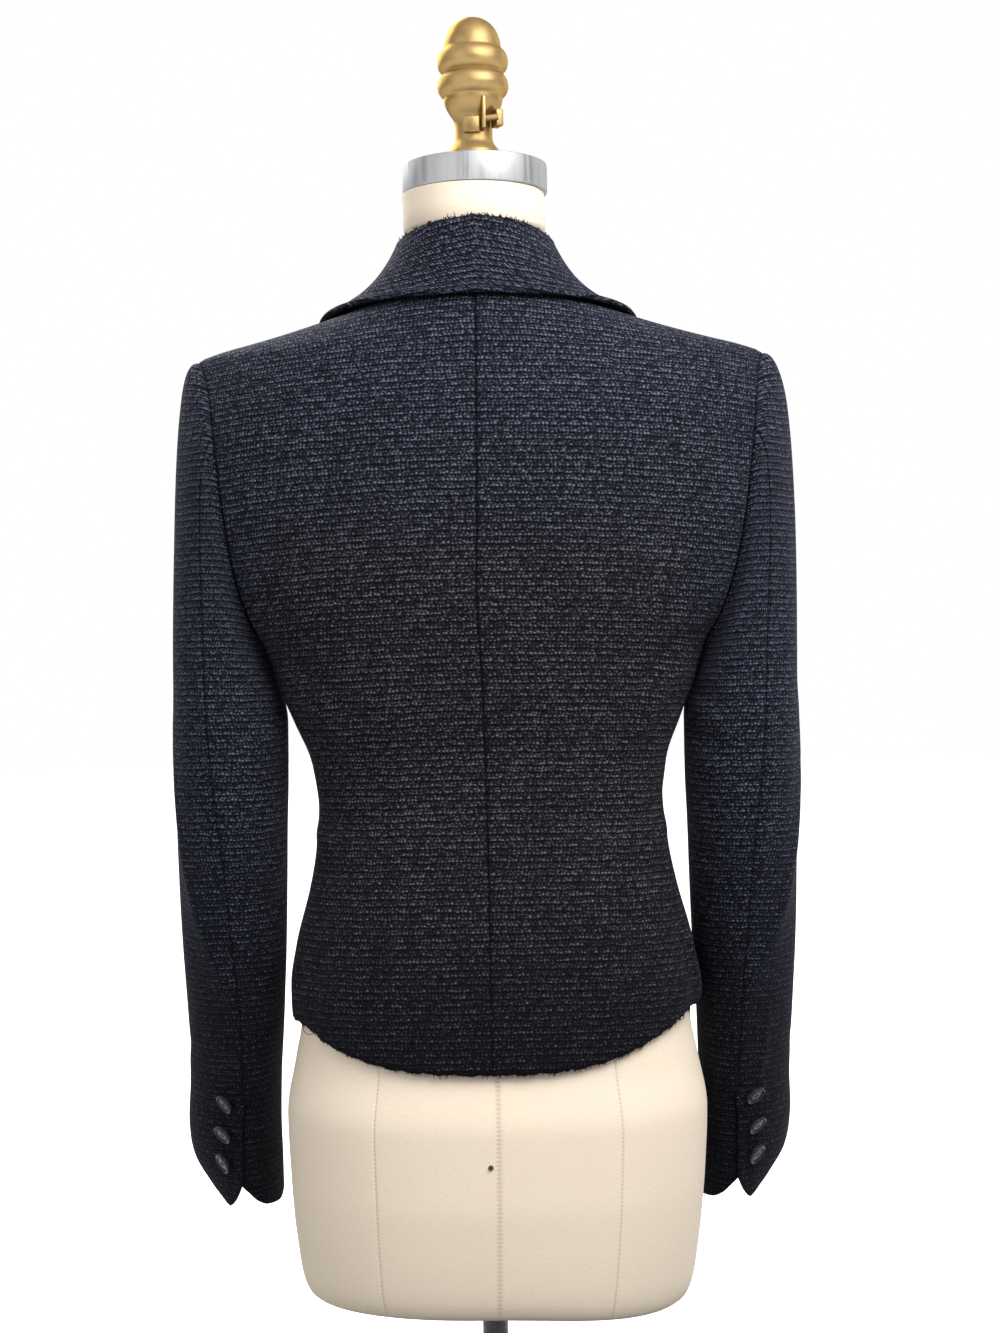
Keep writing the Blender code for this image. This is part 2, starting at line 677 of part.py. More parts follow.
def sleeve_piece(start_turns, cuff_at):
    rows = [("cap", share) for share in CAP_SHARES] + [("ring", z) for z in SLEEVE_ROWS]
    outer, inner = [], []
    for i, row in enumerate(rows):
        turns = sleeve_turns(row, start_turns)
        above, below = rows[max(i - 1, 0)], rows[min(i + 1, len(rows) - 1)]
        outer_row, inner_row = [], []
        for j, (start, turn) in enumerate(zip(start_turns, turns)):
            point = sleeve_point(row, start, turn, cuff_at)
            down = sleeve_point(below, start, sleeve_turns(below, start_turns)[j], cuff_at)
            down -= sleeve_point(above, start, sleeve_turns(above, start_turns)[j], cuff_at)
            around = sleeve_point(row, start + 1, turn + 1, cuff_at)
            around -= sleeve_point(row, start - 1, turn - 1, cuff_at)
            normal = around.cross(down).normalized() * -1
            gap = around.normalized() * SEAM_GAP / 2 * ((j == 0) - (j == len(turns) - 1))
            outer_row.append(point + gap)
            inner_row.append(point - normal * CLOTH + INNER_SEAM_SPREAD * gap)
        outer.append(outer_row)
        inner.append(inner_row)
    return outer, inner


def make_sleeves(cloth):
    upper = [*reversed(front_turns()[:OUTER_FRONT_STATIONS]), *back_turns()[1:OUTER_BACK_STATIONS]]
    under = [*back_turns()[OUTER_BACK_STATIONS - 1:]]
    under += [turn + 360 for turn in reversed(front_turns()[OUTER_FRONT_STATIONS - 1:-1])]
    for name, turns, cuff_at in (("upper", upper, upper_cuff_at), ("under", under, under_cuff_at)):
        outer, inner = sleeve_piece(turns, cuff_at)
        wall(f"sleeve_{name}_left", outer, inner, cloth)
        wall(f"sleeve_{name}_right", mirrored(outer), mirrored(inner), cloth)


# ---- Buttons


def place_button(name, surface, point, normal):
    profile = [(radius * BUTTON_RADIUS, height * BUTTON_HEIGHT) for radius, height in BUTTON]
    made = turned(name, profile, surface, 16)
    made.matrix_world = Matrix.Translation(point + normal * BUTTON_CLEAR) @ (
        Vector((0, 0, 1)).rotation_difference(normal).to_matrix().to_4x4()
    )


def make_buttons(surface):
    for number, z in enumerate(CUFF_BUTTON_HEIGHTS, 1):
        point = sleeve_ring(z, CUFF_BUTTON_ANGLE)
        around = sleeve_ring(z, CUFF_BUTTON_ANGLE + 1) - sleeve_ring(z, CUFF_BUTTON_ANGLE - 1)
        down = sleeve_ring(z - 0.004, CUFF_BUTTON_ANGLE) - sleeve_ring(z + 0.004, CUFF_BUTTON_ANGLE)
        normal = down.cross(around).normalized()
        place_button(f"cuff_button_left_{number}", surface, point, normal)
        place_button(
            f"cuff_button_right_{number}",
            surface,
            Vector((-point.x, point.y, point.z)),
            Vector((-normal.x, normal.y, normal.z)),
        )
    point = front_point(FRONT_BUTTON_Z, 0.0, LAP_LIFT)
    place_button("front_button", surface, point, trunk_normal(FRONT_BUTTON_Z, 180))


# ---- The dress form and its stand


def form_sections():
    """The form's own hips and shoulders, and between them the jacket's trunk less the cloth and
    the ease inside it."""
    inset = np.array((CLOTH + FORM_EASE,) * 3 + (0,))
    between = [(z, *(trunk_at(z) - inset)) for z in COVERED_HEIGHTS]
    return smooth_table([*FORM_HIPS, *between, *FORM_SHOULDERS])


def neck_ring_point(radius, angle):
    return radius * math.sin(math.radians(angle)), NECK_CENTRE_Y + radius * math.cos(math.radians(angle))


def make_form(linen):
    sections = form_sections()
    turns = [360 * k / FORM_SIDES for k in range(FORM_SIDES)]
    rings = []
    for z in FORM_ROWS:
        half_width, back, front, squareness = sections(z)
        neck = smoothstep(*NECK_TURNS_ROUND, z)
        ring = []
        for turn in turns:
            body = Vector((*ring_point(half_width, back, front, squareness, turn), z))
            ring.append(body.lerp(Vector((*neck_ring_point(half_width, turn), z)), neck))
        rings.append(ring)
    rings.append([Vector((*neck_ring_point(NECK_RADIUS, turn), NECK_TOP_Z)) for turn in turns])
    stack("form_torso", rings, linen)


def make_stand(steel, gold, black):
    low = NECK_TOP_Z + SEAM_GAP
    profile = [(0, RING_TOP_Z), (RING_RADIUS - 0.0015, RING_TOP_Z), (RING_RADIUS, RING_TOP_Z - 0.0015)]
    profile += [(RING_RADIUS, low + 0.001), (RING_RADIUS - 0.001, low), (0, low)]
    turned("neck_ring", profile, steel, 32).location.y = NECK_CENTRE_Y
    turned("finial", FINIAL, gold, 18).location.y = NECK_CENTRE_Y
    top, bottom = FORM_BOTTOM_Z - SEAM_GAP, BASE_HEIGHT + SEAM_GAP
    turned("stand_rod", [(0, top), (ROD_RADIUS, top), (ROD_RADIUS, bottom), (0, bottom)], black, 16)
    profile = [(0, BASE_HEIGHT), (BASE_RADIUS - 0.004, BASE_HEIGHT), (BASE_RADIUS, BASE_HEIGHT - 0.004)]
    turned("stand_base", [*profile, (BASE_RADIUS, 0), (0, 0)], black, 40)


def main():
    for leftover in list(bpy.data.objects):
        bpy.data.objects.remove(leftover, do_unlink=True)
    parts = bpy.data.collections.new("jacket_on_form")
    bpy.context.scene.collection.children.link(parts)
    cloth = material("dark_wool", (0.012, 0.014, 0.026), 0.85)
    button = material("dark_button", (0.035, 0.036, 0.042), 0.35)
    linen = material("cream_linen", (0.72, 0.63, 0.48), 0.9)
    steel = material("brushed_metal", (0.62, 0.63, 0.64), 0.3, 1.0)
    gold = material("gold_paint", (0.55, 0.36, 0.12), 0.4, 0.8)
    black = material("black_metal", (0.015, 0.015, 0.016), 0.5, 0.3)
    make_back(cloth)
    make_fronts(cloth)
    make_collar(cloth)
    make_lapels(cloth)
    make_sleeves(cloth)
    make_buttons(button)
    make_form(linen)
    make_stand(steel, gold, black)


main()
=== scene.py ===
"""A cropped, waisted wool jacket with raw edges, on a limbless linen dress form, seen from the back.

The cloth lies on the same rings as the solids: the tables of the trunk, the sleeves and the collar
are repeated here, the collar's with a lower fold beside the neck, and every shell is a fine grid of
points on them with its folds added.
"""

import math

import bmesh
import bpy
import numpy as np
from mathutils import Matrix, Vector


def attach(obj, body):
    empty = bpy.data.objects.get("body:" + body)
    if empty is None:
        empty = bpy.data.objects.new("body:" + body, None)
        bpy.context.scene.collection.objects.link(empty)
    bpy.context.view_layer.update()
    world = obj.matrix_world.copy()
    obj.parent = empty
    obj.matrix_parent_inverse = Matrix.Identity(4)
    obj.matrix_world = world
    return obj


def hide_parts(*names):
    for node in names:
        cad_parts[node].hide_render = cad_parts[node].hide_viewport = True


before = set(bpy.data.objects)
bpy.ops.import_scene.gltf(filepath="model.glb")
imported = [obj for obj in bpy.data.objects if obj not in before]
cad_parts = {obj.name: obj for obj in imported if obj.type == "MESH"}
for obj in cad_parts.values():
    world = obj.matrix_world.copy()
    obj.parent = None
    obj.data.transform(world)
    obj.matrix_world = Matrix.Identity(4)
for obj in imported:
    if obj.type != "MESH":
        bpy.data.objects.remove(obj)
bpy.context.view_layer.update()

# ---- Sizes, as in the solids but for COLLAR_ROLL_CLOTH, GORGE_Z and the fold in COLLAR

CLOTH = 0.0020
SEAM_GAP = 0.0003
FORM_EASE = 0.0036
LAP_LIFT = 0.0034
LAPEL_CLOTH = 0.0018
LAPEL_CLEAR = 0.0005
LAPEL_ROLL = 0.0030
COLLAR_CLOTH = 0.0020
COLLAR_ROLL_CLOTH = 0.0044
COLLAR_FOOT_OUT = 0.0015
COLLAR_ROLL = 0.0042
COLLAR_BEND = 0.35

SHOULDER_TIP_Z = 0.8180
UNDERARM_Z = 0.6000
NECKLINE_Z = 0.8620
HEM_BLEND_Z = 0.4000
HEM_BACK_Z = 0.3030
SLEEVE_TOP_Z = 0.5480
CUFF_BLEND_Z = 0.2750
CUFF_LOW_Z = 0.1830

NECK_RADIUS = 0.0502
NECK_TOP_Z = 0.9390
NECK_CENTRE_Y = 0.0050

SLEEVE_CLEAR = 0.0004
CAP_REACH_LOW = 0.011
CAP_REACH_HIGH = 0.021
CAP_HANG_LOW = 0.018
CAP_HANG_HIGH = 0.183
BACK_ARMHOLE_HALF_ANGLE = 26.5
FRONT_ARMHOLE_HALF_ANGLE = 31.0
ARMHOLE_SQUARENESS = 0.6
BACK_SEAM_AT_ARMHOLE = 65.0
FRONT_SEAM = -110.0

# Height, half width, depth of the back and of the front, squareness
TRUNK = (
    (0.2900, 0.1480, 0.1120, 0.1030, 2.40),
    (0.3270, 0.1505, 0.1095, 0.1030, 2.40),
    (0.3520, 0.1522, 0.1060, 0.1020, 2.40),
    (0.3820, 0.1478, 0.0995, 0.1000, 2.40),
    (0.4255, 0.1365, 0.0885, 0.0965, 2.35),
    (0.4520, 0.1315, 0.0825, 0.0955, 2.35),
    (0.4840, 0.1285, 0.0785, 0.0965, 2.35),
    (0.5170, 0.1322, 0.0795, 0.1015, 2.35),
    (0.5480, 0.1440, 0.0850, 0.1100, 2.35),
    (0.5750, 0.1550, 0.0905, 0.1180, 2.35),
    (0.6000, 0.1635, 0.0950, 0.1240, 2.35),
    (0.6200, 0.1790, 0.0985, 0.1265, 2.35),
    (0.6400, 0.1905, 0.1010, 0.1270, 2.35),
    (0.6640, 0.2000, 0.1030, 0.1260, 2.35),
    (0.7000, 0.2085, 0.1045, 0.1210, 2.35),
    (0.7330, 0.2130, 0.1030, 0.1140, 2.30),
    (0.7600, 0.2150, 0.1000, 0.1070, 2.20),
    (0.7820, 0.2155, 0.0960, 0.1000, 2.05),
    (0.8000, 0.2150, 0.0910, 0.0935, 1.85),
    (0.8120, 0.2135, 0.0875, 0.0885, 1.70),
    (0.8180, 0.2110, 0.0855, 0.0860, 1.62),
    (0.8245, 0.1950, 0.0835, 0.0830, 1.60),
    (0.8310, 0.1700, 0.0810, 0.0795, 1.62),
    (0.8370, 0.1480, 0.0785, 0.0755, 1.68),
    (0.8445, 0.1220, 0.0755, 0.0700, 1.78),
    (0.8520, 0.0970, 0.0720, 0.0645, 1.90),
    (0.8580, 0.0790, 0.0690, 0.0600, 2.00),
    (0.8640, 0.0665, 0.0660, 0.0560, 2.00),
)
# The front edge of a front: height, distance from the middle, below 0 where it laps past it
FRONT_EDGE = (
    (0.3030, 0.0370),
    (0.3070, 0.0180),
    (0.3180, -0.0010),
    (0.3350, -0.0130),
    (0.3550, -0.0178),
    (0.4000, -0.0180),
    (0.5200, -0.0180),
    (0.5550, -0.0120),
    (0.5850, 0.0000),
    (0.6200, 0.0085),
    (0.6600, 0.0170),
    (0.7000, 0.0245),
    (0.7500, 0.0330),
    (0.8000, 0.0410),
    (0.8300, 0.0460),
    (0.8500, 0.0500),
    (0.8640, 0.0540),
)
# The hem: angle round the ring, height
HEM = (
    (0, 0.3030),
    (22, 0.3050),
    (51, 0.3165),
    (67, 0.3260),
    (90, 0.3290),
    (120, 0.3210),
    (150, 0.3080),
    (168, 0.3000),
    (190, 0.2985),
)
# A sleeve: height, outer side, inner side, middle of its depth, half its depth, squareness, and the
# shift of the crest at its back
SLEEVE = (
    (0.1800, 0.2100, 0.1592, -0.0500, 0.0470, 1.60, 0.0010),
    (0.1970, 0.2200, 0.1594, -0.0485, 0.0485, 1.60, -0.0030),
    (0.2140, 0.2275, 0.1596, -0.0465, 0.0495, 1.60, -0.0065),
    (0.2300, 0.2308, 0.1601, -0.0450, 0.0500, 1.60, -0.0085),
    (0.2440, 0.2316, 0.1604, -0.0432, 0.0502, 1.60, -0.0092),
    (0.2770, 0.2301, 0.1599, -0.0385, 0.0500, 1.62, -0.0105),
    (0.3085, 0.2303, 0.1582, -0.0328, 0.0500, 1.68, -0.0095),
    (0.3400, 0.2311, 0.1563, -0.0268, 0.0505, 1.75, -0.0075),
    (0.3720, 0.2321, 0.1543, -0.0210, 0.0515, 1.85, -0.0050),
    (0.4255, 0.2333, 0.1521, -0.0130, 0.0545, 2.00, -0.0010),
    (0.4700, 0.2342, 0.1508, -0.0085, 0.0575, 2.08, 0.0000),
    (0.5100, 0.2340, 0.1494, -0.0055, 0.0605, 2.15, 0.0000),
    (0.5480, 0.2336, 0.1492, -0.0040, 0.0630, 2.15, 0.0000),
)
# The cuff's hem: angle round the sleeve (0 is outermost, 90 the back), height
UPPER_CUFF = (
    (-110, 0.2110),
    (-60, 0.2190),
    (-25, 0.2230),
    (0, 0.2200),
    (25, 0.2060),
    (44, 0.1905),
    (58, 0.1830),
    (70, 0.1868),
    (90, 0.2020),
)
UNDER_CUFF = (
    (90, 0.2020),
    (110, 0.1925),
    (122, 0.1860),
    (137, 0.1815),
    (160, 0.1800),
    (180, 0.1840),
    (215, 0.2000),
    (250, 0.2110),
)
# The back seam of a sleeve: height, angle round the sleeve
BACK_SEAM = (
    (0.1800, 90.0),
    (0.4200, 90.0),
    (0.4900, 83.0),
    (0.5480, 76.0),
)
# The collar from the centre back to its front end: the fold's x, y, z; the lower edge's height on
# the trunk, its angle there and its lift off it; the drop of the fall's middle; the stand's height
COLLAR = (
    (0.0000, 0.0603, 0.9100, 0.8530, 0.0, 0.0050, 0.002, 0.0440),
    (0.0283, 0.0520, 0.9078, 0.8520, 24.0, 0.0050, 0.005, 0.0408),
    (0.0466, 0.0340, 0.9036, 0.8500, 52.0, 0.0050, 0.013, 0.0358),
    (0.0542, 0.0060, 0.9000, 0.8470, 90.0, 0.0055, 0.024, 0.0315),
    (0.0560, -0.0220, 0.8900, 0.8380, 124.0, 0.0050, 0.015, 0.0200),
    (0.0560, -0.0480, 0.8712, 0.8260, 144.0, 0.0045, 0.008, 0.0086),
    (0.0535, -0.0680, 0.8480, 0.8140, 154.0, 0.0040, 0.001, 0.0040),
    (0.0455, -0.0880, 0.8180, 0.8020, 158.0, 0.0036, 0.000, 0.0020),
)
# A lapel from the break of the front up: share of its height, outer edge's x, outer edge's z
LAPEL = (
    (0.00, 0.0030, 0.5930),
    (0.15, 0.0220, 0.6180),
    (0.35, 0.0450, 0.6580),
    (0.60, 0.0690, 0.7080),
    (0.85, 0.0900, 0.7540),
    (1.00, 0.1010, 0.7780),
)
LAPEL_FOOT_Z = 0.5940
LAPEL_START = 0.04
GORGE_Z = 0.8150
GORGE_SLOPE = 0.36
NOTCH_X = 0.0680

# The dress form below the hem and at the shoulders: height, half width, back, front, squareness
FORM_HIPS = (
    (0.1270, 0.1330, 0.0930, 0.0830, 2.40),
    (0.1300, 0.1405, 0.1000, 0.0900, 2.40),
    (0.1435, 0.1459, 0.1055, 0.0945, 2.40),
    (0.1645, 0.1493, 0.1085, 0.0970, 2.40),
    (0.1810, 0.1515, 0.1100, 0.0985, 2.40),
    (0.2130, 0.1541, 0.1120, 0.1000, 2.40),
    (0.2600, 0.1562, 0.1120, 0.1005, 2.40),
    (0.3000, 0.1495, 0.1055, 0.0970, 2.40),
)
FORM_SHOULDERS = (
    (0.6000, 0.1570, 0.0890, 0.1175, 2.35),
    (0.6400, 0.1690, 0.0950, 0.1205, 2.30),
    (0.6800, 0.1780, 0.0975, 0.1175, 2.25),
    (0.7200, 0.1830, 0.0975, 0.1100, 2.20),
    (0.7600, 0.1840, 0.0930, 0.0990, 2.05),
    (0.7850, 0.1790, 0.0875, 0.0905, 1.90),
    (0.8050, 0.1670, 0.0820, 0.0820, 1.75),
    (0.8160, 0.1510, 0.0785, 0.0770, 1.70),
    (0.8250, 0.1300, 0.0750, 0.0715, 1.72),
    (0.8330, 0.1070, 0.0710, 0.0650, 1.80),
    (0.8420, 0.0840, 0.0665, 0.0575, 1.95),
    (0.8500, 0.0670, 0.0630, 0.0520, 2.00),
    (0.8600, 0.0560, 0.0590, 0.0480, 2.00),
    (0.8750, 0.0515, 0.0560, 0.0460, 2.00),
    (0.9000, 0.0502, 0.0552, 0.0452, 2.00),
)
CUFF_BUTTON_HEIGHTS = (0.2630, 0.2400, 0.2175)
FRONT_BUTTON_Z = 0.5200

# ---- Sizes of the scene alone

# The centre back seam wanders a little: height, distance from the middle
CENTRE_SEAM = (
    (0.300, -0.0008),
    (0.356, -0.0010),
    (0.458, -0.0008),
    (0.565, 0.0008),
    (0.600, 0.0022),
    (0.635, 0.0037),
    (0.705, 0.0028),
    (0.775, 0.0018),
    (0.864, 0.0008),
)
# Soft folds of the trunk, on each side: where one starts and ends (turn from the centre back, height),
# its half width, its rise off the cloth and how far its middle bows
TRUNK_FOLDS = {
    "left": (
        (58, 0.596, 34, 0.548, 0.0085, -0.0017, 0.004),
        (66, 0.574, 42, 0.528, 0.0070, 0.0012, 0.004),
        (76, 0.556, 48, 0.502, 0.0080, -0.0014, 0.005),
        (84, 0.486, 44, 0.478, 0.0075, -0.0015, -0.004),
        (92, 0.468, 56, 0.462, 0.0065, 0.0011, -0.003),
        (80, 0.450, 50, 0.438, 0.0080, -0.0012, -0.004),
        (8, 0.500, 34, 0.486, 0.0100, -0.0008, 0.003),
        (30, 0.792, 33, 0.640, 0.0150, -0.0013, 0.010),
        (22, 0.600, 26, 0.420, 0.0160, 0.0012, -0.008),
        (70, 0.392, 78, 0.322, 0.0120, 0.0014, 0.003),
        (56, 0.376, 60, 0.318, 0.0100, -0.0012, 0.002),
        (132, 0.560, 106, 0.530, 0.0080, -0.0015, 0.004),
        (140, 0.536, 112, 0.512, 0.0070, 0.0011, 0.004),
        (150, 0.520, 100, 0.490, 0.0080, -0.0015, -0.006),
        (146, 0.500, 104, 0.466, 0.0075, -0.0012, -0.006),
        (142, 0.480, 118, 0.440, 0.0070, 0.0010, -0.004),
        (126, 0.392, 120, 0.326, 0.0110, 0.0013, 0.003),
        (148, 0.740, 140, 0.640, 0.0140, -0.0012, 0.006),
    ),
    "right": (
        (56, 0.606, 40, 0.552, 0.0080, -0.0019, 0.004),
        (64, 0.588, 48, 0.534, 0.0065, 0.0014, 0.004),
        (74, 0.566, 50, 0.512, 0.0080, -0.0015, 0.005),
        (86, 0.492, 42, 0.474, 0.0075, -0.0014, -0.004),
        (90, 0.470, 54, 0.454, 0.0065, 0.0011, -0.003),
        (78, 0.448, 46, 0.436, 0.0080, -0.0011, -0.004),
        (12, 0.488, 36, 0.478, 0.0100, -0.0008, 0.003),
        (32, 0.770, 34, 0.650, 0.0150, -0.0012, -0.010),
        (20, 0.580, 27, 0.410, 0.0160, 0.0011, 0.008),
        (64, 0.404, 74, 0.326, 0.0110, -0.0016, 0.003),
        (72, 0.398, 84, 0.328, 0.0110, 0.0016, 0.003),
        (130, 0.566, 108, 0.532, 0.0080, -0.0014, 0.004),
        (142, 0.540, 110, 0.514, 0.0070, 0.0012, 0.004),
        (158, 0.522, 102, 0.488, 0.0080, -0.0015, -0.006),
        (150, 0.504, 106, 0.464, 0.0075, -0.0012, -0.006),
        (144, 0.478, 116, 0.444, 0.0070, 0.0011, -0.004),
        (122, 0.396, 118, 0.330, 0.0110, 0.0013, 0.003),
        (150, 0.730, 138, 0.630, 0.0140, -0.0012, 0.006),
    ),
}
# The length of one degree round the trunk
TRUNK_DEGREE = 0.0026
# Soft folds of the sleeves: turn round the sleeve and height at the start and end, half width, rise, bow
SLEEVE_FOLDS = {
    "left": (
        (168, 0.560, 96, 0.534, 0.0070, -0.0019, 0.004),
        (160, 0.542, 104, 0.520, 0.0060, 0.0013, 0.004),
        (172, 0.520, 112, 0.500, 0.0070, -0.0014, -0.004),
        (176, 0.466, 128, 0.452, 0.0070, -0.0016, 0.003),
        (170, 0.448, 120, 0.432, 0.0060, 0.0012, 0.003),
        (180, 0.424, 134, 0.416, 0.0070, -0.0013, -0.003),
        (20, 0.560, 88, 0.330, 0.0060, 0.0014, 0.010),
        (8, 0.520, 64, 0.320, 0.0120, -0.0010, 0.008),
        (-100, 0.444, -40, 0.424, 0.0075, -0.0018, -0.006),
        (-104, 0.424, -48, 0.396, 0.0070, -0.0015, -0.006),
        (-96, 0.434, -44, 0.410, 0.0060, 0.0013, -0.006),
        (-110, 0.560, -76, 0.500, 0.0080, -0.0014, 0.006),
        (250, 0.440, 200, 0.420, 0.0075, -0.0016, 0.006),
        (246, 0.416, 204, 0.398, 0.0070, 0.0012, 0.006),
        (-30, 0.330, 10, 0.300, 0.0090, -0.0010, 0.004),
        (150, 0.330, 110, 0.300, 0.0090, -0.0009, 0.004),
        (-20, 0.640, 8, 0.560, 0.0120, -0.0010, 0.005),
    ),
    "right": (
        (164, 0.566, 98, 0.546, 0.0070, -0.0016, 0.004),
        (170, 0.540, 104, 0.514, 0.0065, -0.0014, 0.004),
        (160, 0.528, 108, 0.506, 0.0060, 0.0012, -0.004),
        (178, 0.460, 130, 0.440, 0.0070, -0.0015, 0.003),
        (172, 0.440, 124, 0.424, 0.0060, 0.0012, 0.003),
        (12, 0.548, 86, 0.340, 0.0060, 0.0014, 0.012),
        (4, 0.500, 60, 0.330, 0.0120, -0.0010, 0.008),
        (56, 0.330, 62, 0.270, 0.0035, 0.0012, 0.001),
        (-102, 0.448, -44, 0.420, 0.0075, -0.0017, -0.006),
        (-98, 0.426, -50, 0.404, 0.0070, -0.0014, -0.006),
        (-104, 0.410, -46, 0.390, 0.0060, 0.0012, -0.006),
        (-108, 0.566, -78, 0.510, 0.0080, -0.0013, 0.006),
        (252, 0.446, 202, 0.424, 0.0075, -0.0016, 0.006),
        (248, 0.420, 206, 0.404, 0.0070, 0.0012, 0.006),
        (-34, 0.320, 6, 0.296, 0.0090, -0.0010, 0.004),
        (-16, 0.632, 10, 0.566, 0.0120, -0.0010, 0.005),
    ),
}
# The length of one degree round a sleeve
SLEEVE_DEGREE = 0.0008

# The photographed form and jacket stand a little crooked: height, shift to the photo's right of the
# trunk and the form, and of the sleeves
LEAN = (
    (0.100, 0.0022, -0.0018),
    (0.170, 0.0034, -0.0022),
    (0.220, 0.0042, -0.0018),
    (0.270, 0.0045, -0.0008),
    (0.330, 0.0045, 0.0005),
    (0.420, 0.0045, 0.0007),
    (0.500, 0.0034, 0.0009),
    (0.560, 0.0020, 0.0012),
    (0.600, 0.0014, 0.0014),
    (0.630, 0.0019, 0.0019),
    (0.700, 0.0030, 0.0030),
    (0.780, 0.0034, 0.0034),
    (0.830, 0.0014, 0.0014),
    (0.870, 0.0000, 0.0000),
    (0.910, -0.0006, -0.0006),
    (0.940, -0.0016, -0.0016),
)


def smooth_table(rows):
    """A function of the first column that runs through the others smoothly, with no overshoot."""
    data = np.array(rows, float)
    keys, values = data[:, 0], data[:, 1:]
    slopes = np.diff(values, axis=0) / np.diff(keys)[:, None]
    before, after = slopes[:-1], slopes[1:]
    same = before * after > 0
    mean = 2 * before * after / np.where(same, before + after, 1)
    tangents = np.vstack([slopes[:1], np.where(same, mean, 0), slopes[-1:]])

    def at(key):
        key = np.clip(np.asarray(key, float), keys[0], keys[-1])
        i = np.clip(np.searchsorted(keys, key, "right") - 1, 0, len(keys) - 2)
        width = (keys[i + 1] - keys[i])[..., None]
        t = (key - keys[i])[..., None] / width
        return (
            (2 * t**3 - 3 * t**2 + 1) * values[i]
            + (t**3 - 2 * t**2 + t) * width * tangents[i]
            + (3 * t**2 - 2 * t**3) * values[i + 1]
            + (t**3 - t**2) * width * tangents[i + 1]
        )

    return at


def signed_power(value, power):
    return np.sign(value) * np.abs(value) ** power


def smoothstep(low, high, value):
    t = np.clip((value - low) / (high - low), 0, 1)
    return t * t * (3 - 2 * t)


def unit(vectors):
    return vectors / np.maximum(np.linalg.norm(vectors, axis=-1, keepdims=True), 1e-12)


def bell(distance, width, power=2):
    """1 at no distance, falling to nearly 0 within two widths, and more squarely with power 4."""
    return np.exp(-((distance / width) ** power))


trunk_at = smooth_table(TRUNK)
front_edge_at = smooth_table(FRONT_EDGE)
hem_at = smooth_table(HEM)
sleeve_at = smooth_table(SLEEVE)
upper_cuff_at = smooth_table(UPPER_CUFF)
under_cuff_at = smooth_table(UNDER_CUFF)
back_seam_at = smooth_table(BACK_SEAM)
lapel_at = smooth_table(LAPEL)
lean_at = smooth_table(LEAN)
centre_seam_at = smooth_table(CENTRE_SEAM)


# ---- The trunk's surface


def ring_point(half_width, back, front, squareness, angle):
    across, along = np.sin(np.radians(angle)), np.cos(np.radians(angle))
    depth = np.where(along > 0, back, front)
    return half_width * signed_power(across, 2 / squareness), depth * signed_power(along, 2 / squareness)


def trunk_point(z, angle):
    z, angle = np.broadcast_arrays(np.asarray(z, float), np.asarray(angle, float))
    x, y = ring_point(*np.moveaxis(trunk_at(z), -1, 0), angle)
    return np.stack([x, y, z], axis=-1)


def trunk_normal(z, angle):
    z = np.minimum(z, TRUNK[-1][0] - 0.002)
    up = trunk_point(z + 0.002, angle) - trunk_point(z - 0.002, angle)
    return unit(np.cross(up, trunk_point(z, angle + 1.0) - trunk_point(z, angle - 1.0)))


def front_angle(z, x):
    """The angle of the ring at height z where the front is x from the middle."""
    half_width, _, _, squareness = np.moveaxis(trunk_at(z), -1, 0)
    share = signed_power(np.clip(x / half_width, -1, 1), squareness / 2)
    return 180 - np.degrees(np.arcsin(share))


def front_point(z, x, lift):
    """A point of the front, lifted off it."""
    angle = front_angle(z, x)
    return trunk_point(z, angle) + np.asarray(lift)[..., None] * trunk_normal(z, angle)


def armhole_height(turn):
    middle, half = (SHOULDER_TIP_Z + UNDERARM_Z) / 2, (SHOULDER_TIP_Z - UNDERARM_Z) / 2
    return middle + half * np.cos(np.radians(turn))


def armhole_angle(turn):
    """The ring angle of the armhole's edge. Turns run from the shoulder (0) over the back (90) and
    the underarm (180) to the front (270)."""
    side = np.sin(np.radians(turn))
    half_angle = np.where(side > 0, BACK_ARMHOLE_HALF_ANGLE, -FRONT_ARMHOLE_HALF_ANGLE)
    return 90 - half_angle * np.abs(side) ** ARMHOLE_SQUARENESS


# ---- Folds and seams

FOLD_STRENGTH = 1.3
# A seam: the width of its dark line (painted shade on the wool, stitches on the linen), the depth and
# half width of its dip, how far beside it the turned-in cloth lies, and how high that stands
SEAM_LINE = 0.0010
SEAM_DEPTH = 0.0009
SEAM_HALF_WIDTH = 0.0014
SEAM_ALLOWANCE = 0.0052
SEAM_RIDGE = 0.00035


def edged(count, pull=0.74):
    """Shares from 0 to 1, drawn together towards both ends, where the seams are."""
    share = np.linspace(0, 1, count)
    return share - pull * np.sin(2 * np.pi * share) / (2 * np.pi)


def folded(turn, height, degree, rows):
    """The lift that soft folds give, with degree the length of one turn's degree."""
    lift = np.zeros(np.broadcast(turn, height).shape)
    for start, low, end, high, half_width, rise, bow in rows:
        run, climb = (end - start) * degree, high - low
        length = math.hypot(run, climb)
        across, up = (turn - start) * degree, height - low
        along = (across * run + up * climb) / length**2
        beside = (across * climb - up * run) / length - bow * 4 * along * (1 - along)
        fade = smoothstep(-0.20, 0.30, along) * (1 - smoothstep(0.70, 1.20, along))
        lift += FOLD_STRENGTH * rise * fade * bell(beside, half_width)
    return lift


def seam_line(distance):
    """How dark a seam is painted, as shade on the wool and as stitches on the linen: 1 along it, falling to
    0 within about two millimetres.
    """
    return bell(distance, SEAM_LINE)


def seam_relief(distance):
    """The dip of a seam at its edge and the slight ridge of the turned-in cloth beside it."""
    dip = -SEAM_DEPTH * bell(distance, SEAM_HALF_WIDTH)
    return dip + SEAM_RIDGE * bell(distance - SEAM_ALLOWANCE, 0.6 * SEAM_ALLOWANCE)


# ---- Building blocks

# The sign of x on each side of the wearer
SIDES = ((1, "left"), (-1, "right"))


